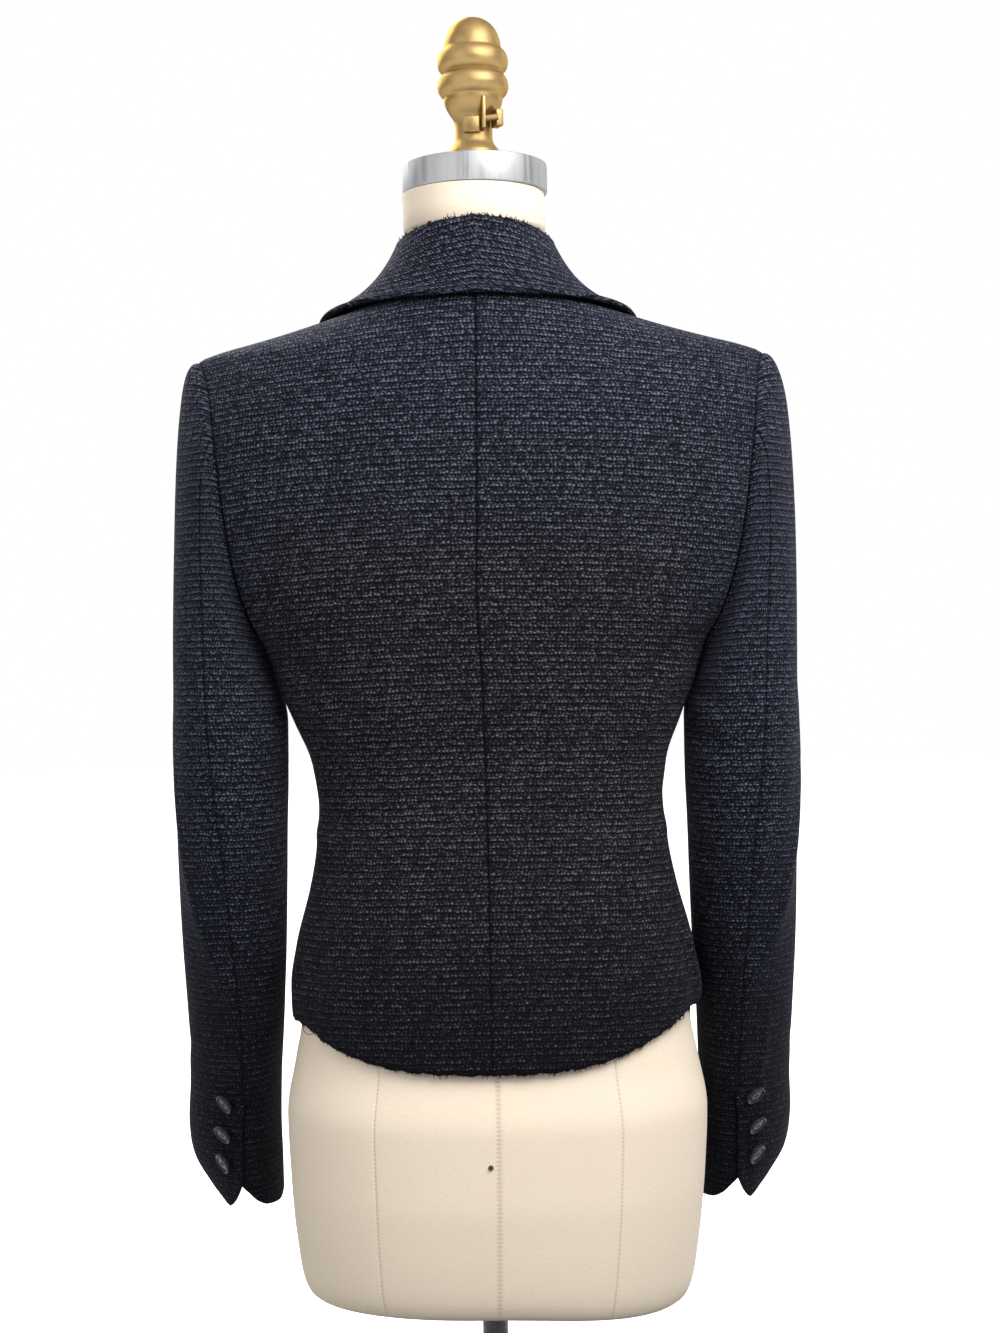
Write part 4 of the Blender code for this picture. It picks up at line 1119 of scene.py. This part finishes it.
def make_collar():
    stations = smooth_table([(i, *row) for i, row in enumerate(COLLAR)])
    half = np.array([collar_line(stations(i)) for i in np.linspace(0, len(COLLAR) - 1, COLLAR_STATIONS)])
    lines = np.concatenate([mirror(half[:0:-1], -1), half])
    normals = unit(np.cross(np.gradient(lines, axis=0), np.gradient(lines, axis=1)))
    down = arc_lengths(lines, 1)
    rest = down[:, -1:] - down
    thick = COLLAR_CLOTH + (COLLAR_ROLL_CLOTH - COLLAR_CLOTH) * bell(rest - 0.0030, 0.0030)
    thick *= 1 - 0.75 * bell(rest, 0.0011)
    station = arc_lengths(lines, 0)[:, :1]
    wave = COLLAR_WAVE * np.sin(station * 61 + down * 30) * smoothstep(0.015, 0.045, down)
    wave = wave * smoothstep(0.002, 0.012, rest)
    offset = normals * thick[..., None] / 2
    middle = lines + normals * wave[..., None]
    outer, inner = lean(middle + offset), lean(middle - offset)
    from_middle = station - station[COLLAR_STATIONS - 1]
    uv = np.stack([arc_lengths(lines, 0), -down + COLLAR_ROW_SAG * from_middle**2], axis=-1)
    from_fold = down - down[:, FOLD_TOP : FOLD_TOP + 1]
    seam = bell(from_fold, 0.0024, 4) + 0.35 * bell(rest, 0.0020)
    piece = cloth_piece("collar", outer, inner, uv, seam)
    frayed = slice(COLLAR_PLAIN, -COLLAR_PLAIN)
    top = outer[frayed, FOLD_TOP]
    facing = unit(outer[frayed, FOLD_TOP + 4] - lines[frayed, FOLD_TOP - 4])
    up = unit(facing * 0.25 + np.array((0, 0, 1.0)))
    ends = loose_ends("collar_ends", top, up, facing, COLLAR_FRAY)


# How far a lapel's edge springs off the front, how much its edge is thinned, and how far its fold
# lies past the front's edge
LAPEL_SPRING = 0.0022
LAPEL_EDGE_DEPTH = 0.0008
LAPEL_FOLD_PAST = 0.0015


def lapel_face(share, across, extra):
    inner_z = LAPEL_FOOT_Z + (GORGE_Z - LAPEL_FOOT_Z) * share
    inner_x = front_edge_at(inner_z)[..., 0] - LAPEL_FOLD_PAST
    outer_x, outer_z = np.moveaxis(lapel_at(share), -1, 0)
    x = inner_x + (outer_x - inner_x) * across
    straight = inner_z + (outer_z - inner_z) * across
    gorge = GORGE_Z - GORGE_SLOPE * (np.minimum(x, NOTCH_X) - inner_x)
    past = (x - NOTCH_X) / np.maximum(outer_x - NOTCH_X, 1e-6)
    beyond = np.where(outer_x > NOTCH_X, np.clip(past, 0, 1), 0)
    top = np.where(x >= NOTCH_X, gorge + (outer_z - gorge) * beyond, gorge)
    z = straight + (top - straight) * smoothstep(0.6, 1.0, share)
    roll = LAPEL_ROLL * np.sin(np.pi * np.minimum(across / 0.7, 1)) * smoothstep(0.0, 0.3, share)
    return front_point(z, x, LAPEL_CLEAR + LAPEL_CLOTH + roll + extra)


def make_lapels():
    share = np.linspace(LAPEL_START, 1, 71)[:, None]
    across = np.linspace(0, 1, 37)[None, :]
    share, across = np.broadcast_arrays(share, across)
    for side, word in SIDES:
        extra = lap_lift(lapel_face(share, across, 0.0)) if side < 0 else 0.0
        extra = extra + LAPEL_SPRING * smoothstep(0.55, 1.0, across) * smoothstep(0.10, 0.45, share)
        extra = extra * (1 - 0.7 * smoothstep(0.80, 1.0, share)) if side > 0 else extra
        outer = lapel_face(share, across, extra - LAPEL_EDGE_DEPTH * bell(1 - across, 0.035))
        inner = lapel_face(share, across, extra - LAPEL_CLOTH)
        uv = np.stack([outer[..., 0] * side, outer[..., 2]], axis=-1)
        # Painted shade along the lapel's outer and top edges
        seam = 0.8 * np.maximum(bell(1 - across, 0.025), bell(1 - share, 0.012))
        outer, inner = lean(mirror(outer, side)), lean(mirror(inner, side))
        piece = cloth_piece(f"lapel_{word}", outer, inner, uv, seam)


# ---- The sleeves


def sleeve_ring(z, turn):
    outer, inner, middle_y, half_depth, squareness, crest = np.moveaxis(sleeve_at(z), -1, 0)
    centre, half_width = (outer + inner) / 2, (outer - inner) / 2
    side, back = np.cos(np.radians(turn)), np.sin(np.radians(turn))
    across = half_width * signed_power(side, 2 / squareness) + crest * np.maximum(back, 0) ** 2
    along = half_depth * signed_power(back, 2 / squareness)
    return np.stack(np.broadcast_arrays(centre + across, middle_y + along, z), axis=-1)


def cap_point(share, start_turn, turn):
    """The sleeve's head: a curve from the armhole out over the shoulder and down to the top ring."""
    start = trunk_point(armhole_height(start_turn), armhole_angle(start_turn))
    start = start + np.array((SLEEVE_CLEAR, 0, 0))
    end = sleeve_ring(np.full_like(turn, SLEEVE_TOP_Z), turn)
    top = (1 + np.cos(np.radians(turn))) / 2
    along = 0.35 * np.sin(np.radians(turn))
    out = np.stack([0.25 + 0.75 * top, along, 0.12 * top - 0.95 * (1 - top)], axis=-1)
    first = start + out * (CAP_REACH_LOW + (CAP_REACH_HIGH - CAP_REACH_LOW) * top)[..., None]
    hang = CAP_HANG_LOW + (CAP_HANG_HIGH - CAP_HANG_LOW) * top
    last = end + np.stack([0 * hang, 0 * hang, hang], axis=-1)
    share = np.asarray(share)[..., None]
    rest = 1 - share
    return rest**3 * start + 3 * rest**2 * share * first + 3 * rest * share**2 * last + share**3 * end


def sleeve_turns(seam_now, start_turns):
    """Turns of the columns on rows whose back seam lies at seam_now."""
    turns = start_turns[None, :] + 0 * seam_now[:, None]
    now = seam_now[:, None] + 0 * turns
    outer = turns * now / BACK_SEAM_AT_ARMHOLE
    inner = 180 - (180 - turns) * (180 - now) / (180 - BACK_SEAM_AT_ARMHOLE)
    drawn = np.where((turns >= 0) & (turns <= BACK_SEAM_AT_ARMHOLE), outer, turns)
    return np.where((turns > BACK_SEAM_AT_ARMHOLE) & (turns <= 180), inner, drawn)


CAP_ROWS = 66
RING_ROWS = 120
SLEEVE_COLUMNS = 84
# How far the inner face of a sleeve goes on into the trunk's cloth at the armhole
ARMHOLE_TUCK = 0.0016
# The vent: the heights at which it ends, the turn by which it laps, its lift, and the width of the
# painted shadow that it casts on the under piece
VENT_TOP = (0.262, 0.270)
VENT_OVERLAP = 5.0
VENT_LIFT = 0.0025
VENT_SHADOW_WIDTH = 0.0052
CUFF_EDGE_DEPTH = 0.0008
CUFF_EDGE_WIDTH = 0.0011


def vent_share(z, start_turns):
    """How far the upper piece's back edge is the free edge of the vent, which laps over the under one."""
    near_seam = smoothstep(BACK_SEAM_AT_ARMHOLE - 16, BACK_SEAM_AT_ARMHOLE - 1, start_turns)
    return (1 - smoothstep(*VENT_TOP, z)) * near_seam


def sleeve_grid(start_turns, cuff_at, overlap, step=0.0):
    """Points of one sleeve piece, its turns and its vent, with its columns shifted by step degrees."""
    shares = np.linspace(0, 1, CAP_ROWS)
    seams = BACK_SEAM_AT_ARMHOLE + shares * (BACK_SEAM[-1][1] - BACK_SEAM_AT_ARMHOLE)
    cap_turns = sleeve_turns(seams, start_turns) + step
    starts = start_turns[None, :] + 0 * cap_turns + step
    cap = cap_point(shares[:, None] + 0 * cap_turns, starts, cap_turns)
    z = np.linspace(SLEEVE_TOP_Z, CUFF_LOW_Z, RING_ROWS + 1)[1:]
    vent = vent_share(z[:, None], start_turns[None, :]) if overlap else np.zeros((len(z), len(start_turns)))
    turns = sleeve_turns(back_seam_at(z)[..., 0], start_turns) + step
    share = np.clip((CUFF_BLEND_Z - z) / (CUFF_BLEND_Z - CUFF_LOW_Z), 0, None)[:, None]
    heights = np.where(share > 0, CUFF_BLEND_Z - share * (CUFF_BLEND_Z - cuff_at(turns)[..., 0]), z[:, None])
    rings = sleeve_ring(heights, turns + VENT_OVERLAP * vent)
    vent = np.concatenate([np.zeros(cap_turns.shape), vent])
    return np.concatenate([cap, rings]), np.concatenate([cap_turns, turns]), vent


def make_sleeves():
    upper = FRONT_SEAM + (BACK_SEAM_AT_ARMHOLE - FRONT_SEAM) * edged(SLEEVE_COLUMNS, 0.6)
    under = BACK_SEAM_AT_ARMHOLE + (360 + FRONT_SEAM - BACK_SEAM_AT_ARMHOLE) * edged(SLEEVE_COLUMNS, 0.6)
    for name, start_turns, cuff_at, flat, area in (
        ("upper", upper, upper_cuff_at, (0.205, 0.650), 0.094),
        ("under", under, under_cuff_at, (0.165, 0.440), 0.059),
    ):
        overlap = name == "upper"
        points, turns, vent = sleeve_grid(start_turns, cuff_at, overlap)
        after, before = (sleeve_grid(start_turns, cuff_at, overlap, step)[0] for step in (1.0, -1.0))
        around = after - before
        down = np.gradient(points, axis=0)
        normals = -unit(np.cross(around, down))
        gap = np.zeros(len(start_turns))
        gap[0], gap[-1] = SEAM_GAP / 2, -SEAM_GAP / 2
        shift = unit(around) * gap[None, :, None]
        across, fallen = arc_lengths(points, 1), arc_lengths(points, 0)
        rest = across[:, -1:] - across
        left = fallen[-1:] - fallen
        beside = np.minimum(rest, across)
        set_in = armhole_seam_share(points[:1, :, 2])
        dip = seam_relief(beside) * (1 - 0.7 * vent) + set_in * seam_relief(fallen)
        dip -= CUFF_EDGE_DEPTH * bell(left, CUFF_EDGE_WIDTH)
        uv = np.stack([across, points[-1:, :, 2] + left], axis=-1)
        # Painted shade along the seams and round the armhole; the cuff's raw edge is darkened too
        seam = np.maximum(0.7 * seam_line(beside), 0.6 * seam_line(fallen))
        seam = np.maximum(seam, 0.6 * bell(left, 0.0018))
        # Painted shadow on the under piece, where the upper piece's vent laps over it
        if not overlap:
            below_vent = 1 - smoothstep(*VENT_TOP, points[..., 2])
            seam = np.maximum(seam, below_vent * bell(across, VENT_SHADOW_WIDTH, 4))
        for side, word in SIDES:
            lift = folded(turns, points[..., 2], SLEEVE_DEGREE, SLEEVE_FOLDS[word])
            lift = lift * smoothstep(0.0, 0.020, fallen) * smoothstep(0.0, 0.020, left) + VENT_LIFT * vent
            outer = points + shift + (lift + dip)[..., None] * normals
            inner = points - 2 * shift + (lift - CLOTH)[..., None] * normals
            inner[..., 0] -= ARMHOLE_TUCK * (1 - smoothstep(0.0, 0.004, fallen))
            outer, inner = lean(mirror(outer, side), 1), lean(mirror(inner, side), 1)
            piece = cloth_piece(f"sleeve_{name}_{word}", outer, inner, uv, seam)
            ends = fray(f"sleeve_{name}_{word}_ends", outer, inner, -1, -2, CUFF_FRAY)


# ---- Buttons


# Radius and height, from the middle of the dished face over the rim to the back
BUTTON_PROFILE = (
    (0.0, 0.0026),
    (0.0010, 0.0027),
    (0.0024, 0.0031),
    (0.0038, 0.0030),
    (0.0048, 0.0025),
    (0.0055, 0.0022),
    (0.0061, 0.0026),
    (0.0067, 0.0035),
    (0.0073, 0.0038),
    (0.0079, 0.0034),
    (0.0081, 0.0026),
    (0.0078, 0.0015),
    (0.0066, 0.0004),
    (0.0050, 0.0),
    (0.0, 0.0),
)
SHANK_PROFILE = (
    (0.0, 0.0),
    (0.0014, 0.0),
    (0.0012, -0.0016),
    (0.0013, -0.0030),
    (0.0018, -0.0046),
    (0.0, -0.0046),
)
# How each cuff button hangs on its thread: the way that its face looks
CUFF_BUTTON_FACES = {
    "left": ((0.701, 0.370, -0.609), (0.608, 0.455, -0.651), (0.806, 0.409, -0.428)),
    "right": ((-0.442, 0.513, -0.735), (-0.536, 0.455, -0.712), (-0.697, 0.507, -0.507)),
}
CUFF_BUTTON_TURN = 71.0
CUFF_BUTTON_RISE = 0.0030
BUTTON_DROOP = 0.75
# How far a cuff button stands off the cloth, and then goes on the way that its face looks
CUFF_BUTTON_SHANK = 0.0030
CUFF_BUTTON_SLACK = 0.0004
FRONT_BUTTON_SHANK = 0.0005
# A button's holes: distance from its middle, height and radius
HOLE_SPREAD = 0.0014
HOLE_HEIGHT = 0.00285
HOLE_RADIUS = 0.00052


def place_button(node, point, normal, shank):
    """A dished button with four holes and its thread."""
    normal = Vector(normal)
    place = Matrix.Translation(Vector(point) + normal * shank)
    place @= Vector((0, 0, 1)).rotation_difference(normal).to_matrix().to_4x4()
    disc = turned_mesh(f"{node}_disc", BUTTON_PROFILE, 48, smooth_angle=60)
    disc.transform(place)
    new_object(disc.name, disc, button_surface, "button", node)
    stem = turned_mesh(f"{node}_thread", SHANK_PROFILE, 12)
    shape = bmesh.new()
    shape.from_mesh(stem)
    for k in range(4):
        turn = math.pi / 4 + k * math.pi / 2
        spot = Matrix.Translation((HOLE_SPREAD * math.cos(turn), HOLE_SPREAD * math.sin(turn), HOLE_HEIGHT))
        bmesh.ops.create_uvsphere(shape, u_segments=8, v_segments=6, radius=HOLE_RADIUS, matrix=spot)
    for k in (-1, 1):
        bar = Matrix.Translation((0, 0.0010 * k, 0.0030)) @ Matrix.Rotation(math.pi / 2, 4, "Y")
        add_rod(shape, 8, 0.0003, 0.0020, bar)
    shape.to_mesh(stem)
    shape.free()
    stem.transform(place)
    new_object(stem.name, stem, yarn, "button")


def make_buttons():
    for number, z in enumerate(CUFF_BUTTON_HEIGHTS, 1):
        z = z + CUFF_BUTTON_RISE
        point = sleeve_ring(z, CUFF_BUTTON_TURN)
        around = sleeve_ring(z, CUFF_BUTTON_TURN + 1) - sleeve_ring(z, CUFF_BUTTON_TURN - 1)
        down = sleeve_ring(z - 0.004, CUFF_BUTTON_TURN) - sleeve_ring(z + 0.004, CUFF_BUTTON_TURN)
        normal = unit(np.cross(down, around))
        for side, word in SIDES:
            face = np.array(CUFF_BUTTON_FACES[word][number - 1])
            own = mirror(normal, side)
            looks = unit(own + BUTTON_DROOP * (face - own))
            place = lean(mirror(point, side), 1) + own * CUFF_BUTTON_SHANK
            place_button(f"cuff_button_{word}_{number}", place, looks, CUFF_BUTTON_SLACK)
    height = np.array(FRONT_BUTTON_Z)
    place = lean(front_point(height, np.array(0.0), np.array(LAP_LIFT)))
    normal = trunk_normal(height, np.array(180.0))
    place_button("front_button", place, normal, FRONT_BUTTON_SHANK)


# ---- The dress form and its stand


# Heights at which the form is the trunk's ring, made smaller all round
FORM_COVERED = (0.327, 0.352, 0.382, 0.4255, 0.452, 0.484, 0.517, 0.548, 0.575)


def form_sections():
    inset = np.array((CLOTH + FORM_EASE,) * 3 + (0,))
    between = [(z, *(trunk_at(z) - inset)) for z in FORM_COVERED]
    return smooth_table([*FORM_HIPS, *between, *FORM_SHOULDERS])


FORM_SEAM_TURNS = (0.0, 30.0, 90.0, 150.0, 180.0, 210.0, 270.0, 330.0)
FORM_SEAM_DEPTH = 0.0006
FORM_DEGREE = 0.0026
FORM_TILT = 0.0068
NECK_FLARE = 0.0030
FORM_TOP_ROWS = (0.905, 0.909, 0.911, 0.913, 0.925, NECK_TOP_Z)


def form_turns():
    """Evenly spaced turns round the form, with a few more on each side of every seam."""
    beside = [seam + step for seam in FORM_SEAM_TURNS for step in (-0.8, -0.4, -0.2, 0.0, 0.2, 0.4, 0.8)]
    even = [turn for turn in np.linspace(0, 360, 121)[:-1] if min(seam_gap(turn)) > 1.2]
    return np.array(sorted({round(turn % 360, 3) for turn in [*beside, *even]}))


def seam_gap(turn):
    return [abs((turn - seam + 180) % 360 - 180) for seam in FORM_SEAM_TURNS]


def make_form():
    sections = form_sections()
    heights = np.concatenate(
        [np.linspace(0.127, 0.150, 13), np.linspace(0.150, 0.900, 170)[1:], FORM_TOP_ROWS]
    )
    turns = form_turns()
    half_width, back, front, squareness = (column[:, None] for column in sections(heights).T)
    neck = smoothstep(0.835, 0.880, heights)[:, None, None]
    x, y = ring_point(half_width, back, front, squareness, turns[None, :])
    z = heights[:, None] + 0 * x
    body = np.stack([x, y, z], axis=-1)
    across = np.stack([np.sin(np.radians(turns)), np.cos(np.radians(turns))], axis=-1)
    # The neck widens above the collar, and over a longer way where the collar is open
    start = 0.908 - 0.060 * smoothstep(0.1, 0.7, -across[:, 1])
    flare = np.clip((z - start) / (0.913 - start), 0, 1)
    radius = np.where(z > 0.9, NECK_RADIUS, half_width) + NECK_FLARE * flare**2 * (3 - 2 * flare)
    ring = np.stack([radius * across[:, 0], NECK_CENTRE_Y + radius * across[:, 1], z], axis=-1)
    points = body + (ring - body) * neck
    near = seam_line(np.array([min(seam_gap(turn)) for turn in turns]) * FORM_DEGREE / 0.7)
    near = near[None, :] * smoothstep(0.128, 0.135, z) * (1 - smoothstep(0.86, 0.88, z))
    points[..., :2] -= FORM_SEAM_DEPTH * near[..., None] * across
    points[..., 2] -= FORM_TILT * smoothstep(0.0, 0.12, -x) * (1 - smoothstep(0.127, 0.200, z))
    points = lean(points)
    rows, columns = points.shape[:2]
    index = np.arange(rows * columns).reshape(rows, columns)
    around = np.roll(index, -1, axis=1)
    faces = np.stack([index[:-1], around[:-1], around[1:], index[1:]], axis=-1).reshape(-1, 4).tolist()
    faces += [index[0].tolist(), index[-1][::-1].tolist()]
    flat = np.stack([arc_lengths(points, 1), z], axis=-1).reshape(-1, 2)
    mesh = mesh_of("form_linen", points.reshape(-1, 3), faces, flat, near.ravel())
    mesh.set_sharp_from_angle(angle=math.radians(50))
    new_object("form_linen", mesh, linen, "linen", "form_torso")
    tack = turned_mesh("form_tack", TACK_PROFILE, 16, smooth_angle=60)
    tack.transform(Matrix.Translation(TACK_PLACE) @ Matrix.Rotation(-math.pi / 2, 4, "X"))
    new_object(tack.name, tack, black, "black_metal")


TACK_PROFILE = ((0.0, 0.0013), (0.0010, 0.0011), (0.0018, 0.0004), (0.0019, 0.0), (0.0, -0.0010))
TACK_PLACE = (0.0012, 0.1125, 0.2396)


def paint_node(name, surface):
    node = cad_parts[name]
    node.data.materials.clear()
    node.data.materials.append(surface)


# Radius and height of the neck's band and of the cast knob, from the top down
BAND_PROFILE = (
    (0.0, 0.9606),
    (0.0500, 0.9606),
    (0.0526, 0.9610),
    (0.0538, 0.9604),
    (0.0541, 0.9592),
    (0.0541, 0.9412),
    (0.0537, 0.9398),
    (0.0528, 0.9393),
    (0.0, 0.9393),
)
KNOB_PROFILE = (
    (0.0000, 1.0720),
    (0.0070, 1.0708),
    (0.0138, 1.0668),
    (0.0186, 1.0605),
    (0.0208, 1.0540),
    (0.0214, 1.0502),
    (0.0218, 1.0482),
    (0.0238, 1.0462),
    (0.0258, 1.0430),
    (0.0266, 1.0385),
    (0.0258, 1.0342),
    (0.0236, 1.0312),
    (0.0220, 1.0296),
    (0.0240, 1.0276),
    (0.0259, 1.0244),
    (0.0266, 1.0200),
    (0.0256, 1.0160),
    (0.0236, 1.0132),
    (0.0222, 1.0116),
    (0.0218, 1.0090),
    (0.0205, 1.0050),
    (0.0180, 1.0002),
    (0.0154, 0.9962),
    (0.0142, 0.9920),
    (0.0139, 0.9860),
    (0.0141, 0.9810),
    (0.0150, 0.9775),
    (0.0175, 0.9740),
    (0.0200, 0.9700),
    (0.0205, 0.9660),
    (0.0205, 0.9613),
    (0.0000, 0.9613),
)


def smoothed(profile, finer):
    """A profile's points with more between them, on a smooth curve through them."""
    curve = smooth_table([(i, *point) for i, point in enumerate(profile)])
    return [tuple(curve(i)) for i in np.linspace(0, len(profile) - 1, finer * (len(profile) - 1) + 1)]


# The lugs and the fin of the knob's clamp: middle, half size, turn about Z in degrees
LUGS = (
    ((0.0013, 0.0178, 0.9890), (0.0060, 0.0034, 0.0060), 0),
    ((-0.0070, 0.0195, 0.9968), (0.0014, 0.0070, 0.0120), 6),
    ((-0.0176, 0.0150, 0.9940), (0.0028, 0.0055, 0.0062), 24),
)
SCREW_PLACE = (-0.0125, 0.0205, 0.9934)
SCREW_TURN = 96
SCREW_RADIUS = 0.0024
SCREW_LENGTH = 0.0120


def make_stand():
    band = turned_mesh("neck_band", BAND_PROFILE, 128, (0, NECK_CENTRE_Y))
    new_object(band.name, band, steel, "neck_metal", "neck_ring")
    knob = turned_mesh("knob", smoothed(KNOB_PROFILE, 3), 64, (0, NECK_CENTRE_Y), smooth_angle=60)
    shape = bmesh.new()
    shape.from_mesh(knob)
    for place, half, turn in LUGS:
        where = Matrix.Translation(place) @ Matrix.Rotation(math.radians(turn), 4, "Z")
        where = where @ Matrix.Diagonal((*half, 1))
        made = bmesh.ops.create_cube(shape, size=2.0, matrix=where)
        edges = list({edge for vert in made["verts"] for edge in vert.link_edges})
        bmesh.ops.bevel(shape, geom=edges, offset=0.0007, segments=2, affect="EDGES", profile=0.5)
    screw = Matrix.Translation(SCREW_PLACE) @ Matrix.Rotation(math.radians(SCREW_TURN), 4, "Y")
    add_rod(shape, 16, SCREW_RADIUS, SCREW_LENGTH, screw)
    shape.to_mesh(knob)
    shape.free()
    knob.shade_smooth()
    knob.set_sharp_from_angle(angle=math.radians(45))
    new_object(knob.name, knob, gold, "gold", "finial")
    paint_node("stand_rod", black)
    paint_node("stand_base", black)


# ---- The room and the camera

ROOM_RADIUS = 9.0
FLOOR_COLOURS = ((0.90, 0.90, 0.90), (0.93, 0.93, 0.93))
# How far out the floor's glow changes, and from what to what
FLOOR_FADE = (0.5, 2.6)
FLOOR_GLOW = (0.62, 0.95)
# The rise of the direction over which the sky's brightness changes, and from what to what
SKY_RISE = (-0.5, 0.7)
SKY = (0.24, 0.74)
# Name, place, size, power; all look at LIT_PLACE
LIT_PLACE = (0, 0, 0.6)
LIGHTS = (
    ("key", (-0.60, 0.85, 1.55), 0.9, 25),
    ("fill", (1.8, 1.8, 1.6), 1.6, 16),
    ("front_key", (0.60, -0.85, 1.55), 0.9, 22),
    ("front_fill", (-1.8, -1.8, 1.6), 1.6, 16),
)
CAMERA_PLACE = (0.0, 1.55, 0.607)
CAMERA_LENS = 55.82
CAMERA_SENSOR = 36
CAMERA_ROLL = -1.05
# The picture's shift in pixels of the photo, and the photo's height
CAMERA_SHIFT = (17.0, -26.5)
PHOTO_HEIGHT = 1333


def stage_piece(name, shape, surface):
    mesh = bpy.data.meshes.new(name)
    shape.to_mesh(mesh)
    shape.free()
    mesh.materials.append(surface)
    made = bpy.data.objects.new(name, mesh)
    bpy.context.scene.collection.objects.link(made)
    return made


def make_room():
    n = Nodes("pale_floor", 0.9, specular=0.0)
    where = n.place()
    n.link(n.mix(n.noise(where, 2.0, 3.0), *FLOOR_COLOURS), "Base Color")
    n.shade(Emission_Color=(1, 1, 1, 1))
    away = n.vector("LENGTH", i0=where)["Value"]
    n.link(n.ramp(away, *FLOOR_FADE, *FLOOR_GLOW), "Emission Strength")
    shape = bmesh.new()
    bmesh.ops.create_circle(shape, cap_ends=True, radius=ROOM_RADIUS, segments=64)
    floor = stage_piece("floor", shape, n.material)
    floor.visible_diffuse = False
    # A white backdrop all round, which lights nothing
    n = Nodes("white_backdrop", 1.0, specular=0.0)
    n.shade(Base_Color=(0, 0, 0, 1), Emission_Color=(1, 1, 1, 1), Emission_Strength=1.0)
    shape = bmesh.new()
    bmesh.ops.create_uvsphere(shape, u_segments=48, v_segments=24, radius=ROOM_RADIUS)
    backdrop = stage_piece("backdrop", shape, n.material)
    backdrop.visible_diffuse = backdrop.visible_glossy = backdrop.visible_transmission = False
    backdrop.visible_shadow = False
    world = bpy.data.worlds.new("studio")
    world.use_nodes = True
    world.node_tree.nodes["Background"].inputs["Color"].default_value = (1, 1, 1, 1)
    nodes, links = world.node_tree.nodes, world.node_tree.links
    kinds = ("ShaderNodeTexCoord", "ShaderNodeSeparateXYZ", "ShaderNodeMapRange")
    direction, split, ramp = (nodes.new(kind) for kind in kinds)
    links.new(direction.outputs["Generated"], split.inputs[0])
    links.new(split.outputs["Z"], ramp.inputs["Value"])
    for name, value in zip(("From Min", "From Max", "To Min", "To Max"), (*SKY_RISE, *SKY)):
        ramp.inputs[name].default_value = value
    links.new(ramp.outputs[0], nodes["Background"].inputs["Strength"])
    bpy.context.scene.world = world
    bpy.context.scene.view_settings.view_transform = "Standard"
    for name, place, size, power in LIGHTS:
        light = bpy.data.lights.new(name, "AREA")
        light.energy, light.size = power, size
        made = bpy.data.objects.new(name, light)
        made.location = place
        made.rotation_euler = (Vector(LIT_PLACE) - Vector(place)).to_track_quat("-Z", "Y").to_euler()
        made.visible_camera = False
        bpy.context.scene.collection.objects.link(made)


def make_camera():
    camera = bpy.data.cameras.new("camera")
    camera.lens, camera.sensor_width = CAMERA_LENS, CAMERA_SENSOR
    camera.shift_x, camera.shift_y = (pixels / PHOTO_HEIGHT for pixels in CAMERA_SHIFT)
    made = bpy.data.objects.new("camera", camera)
    turn = Matrix.Rotation(math.pi, 4, "Z") @ Matrix.Rotation(math.pi / 2, 4, "X")
    roll = Matrix.Rotation(math.radians(CAMERA_ROLL), 4, "Z")
    made.matrix_world = Matrix.Translation(CAMERA_PLACE) @ turn @ roll
    bpy.context.scene.collection.objects.link(made)
    bpy.context.scene.camera = made


make_camera()
make_room()
make_trunk()
make_loose_thread()
make_collar()
make_lapels()
make_sleeves()
make_buttons()
make_form()
make_stand()
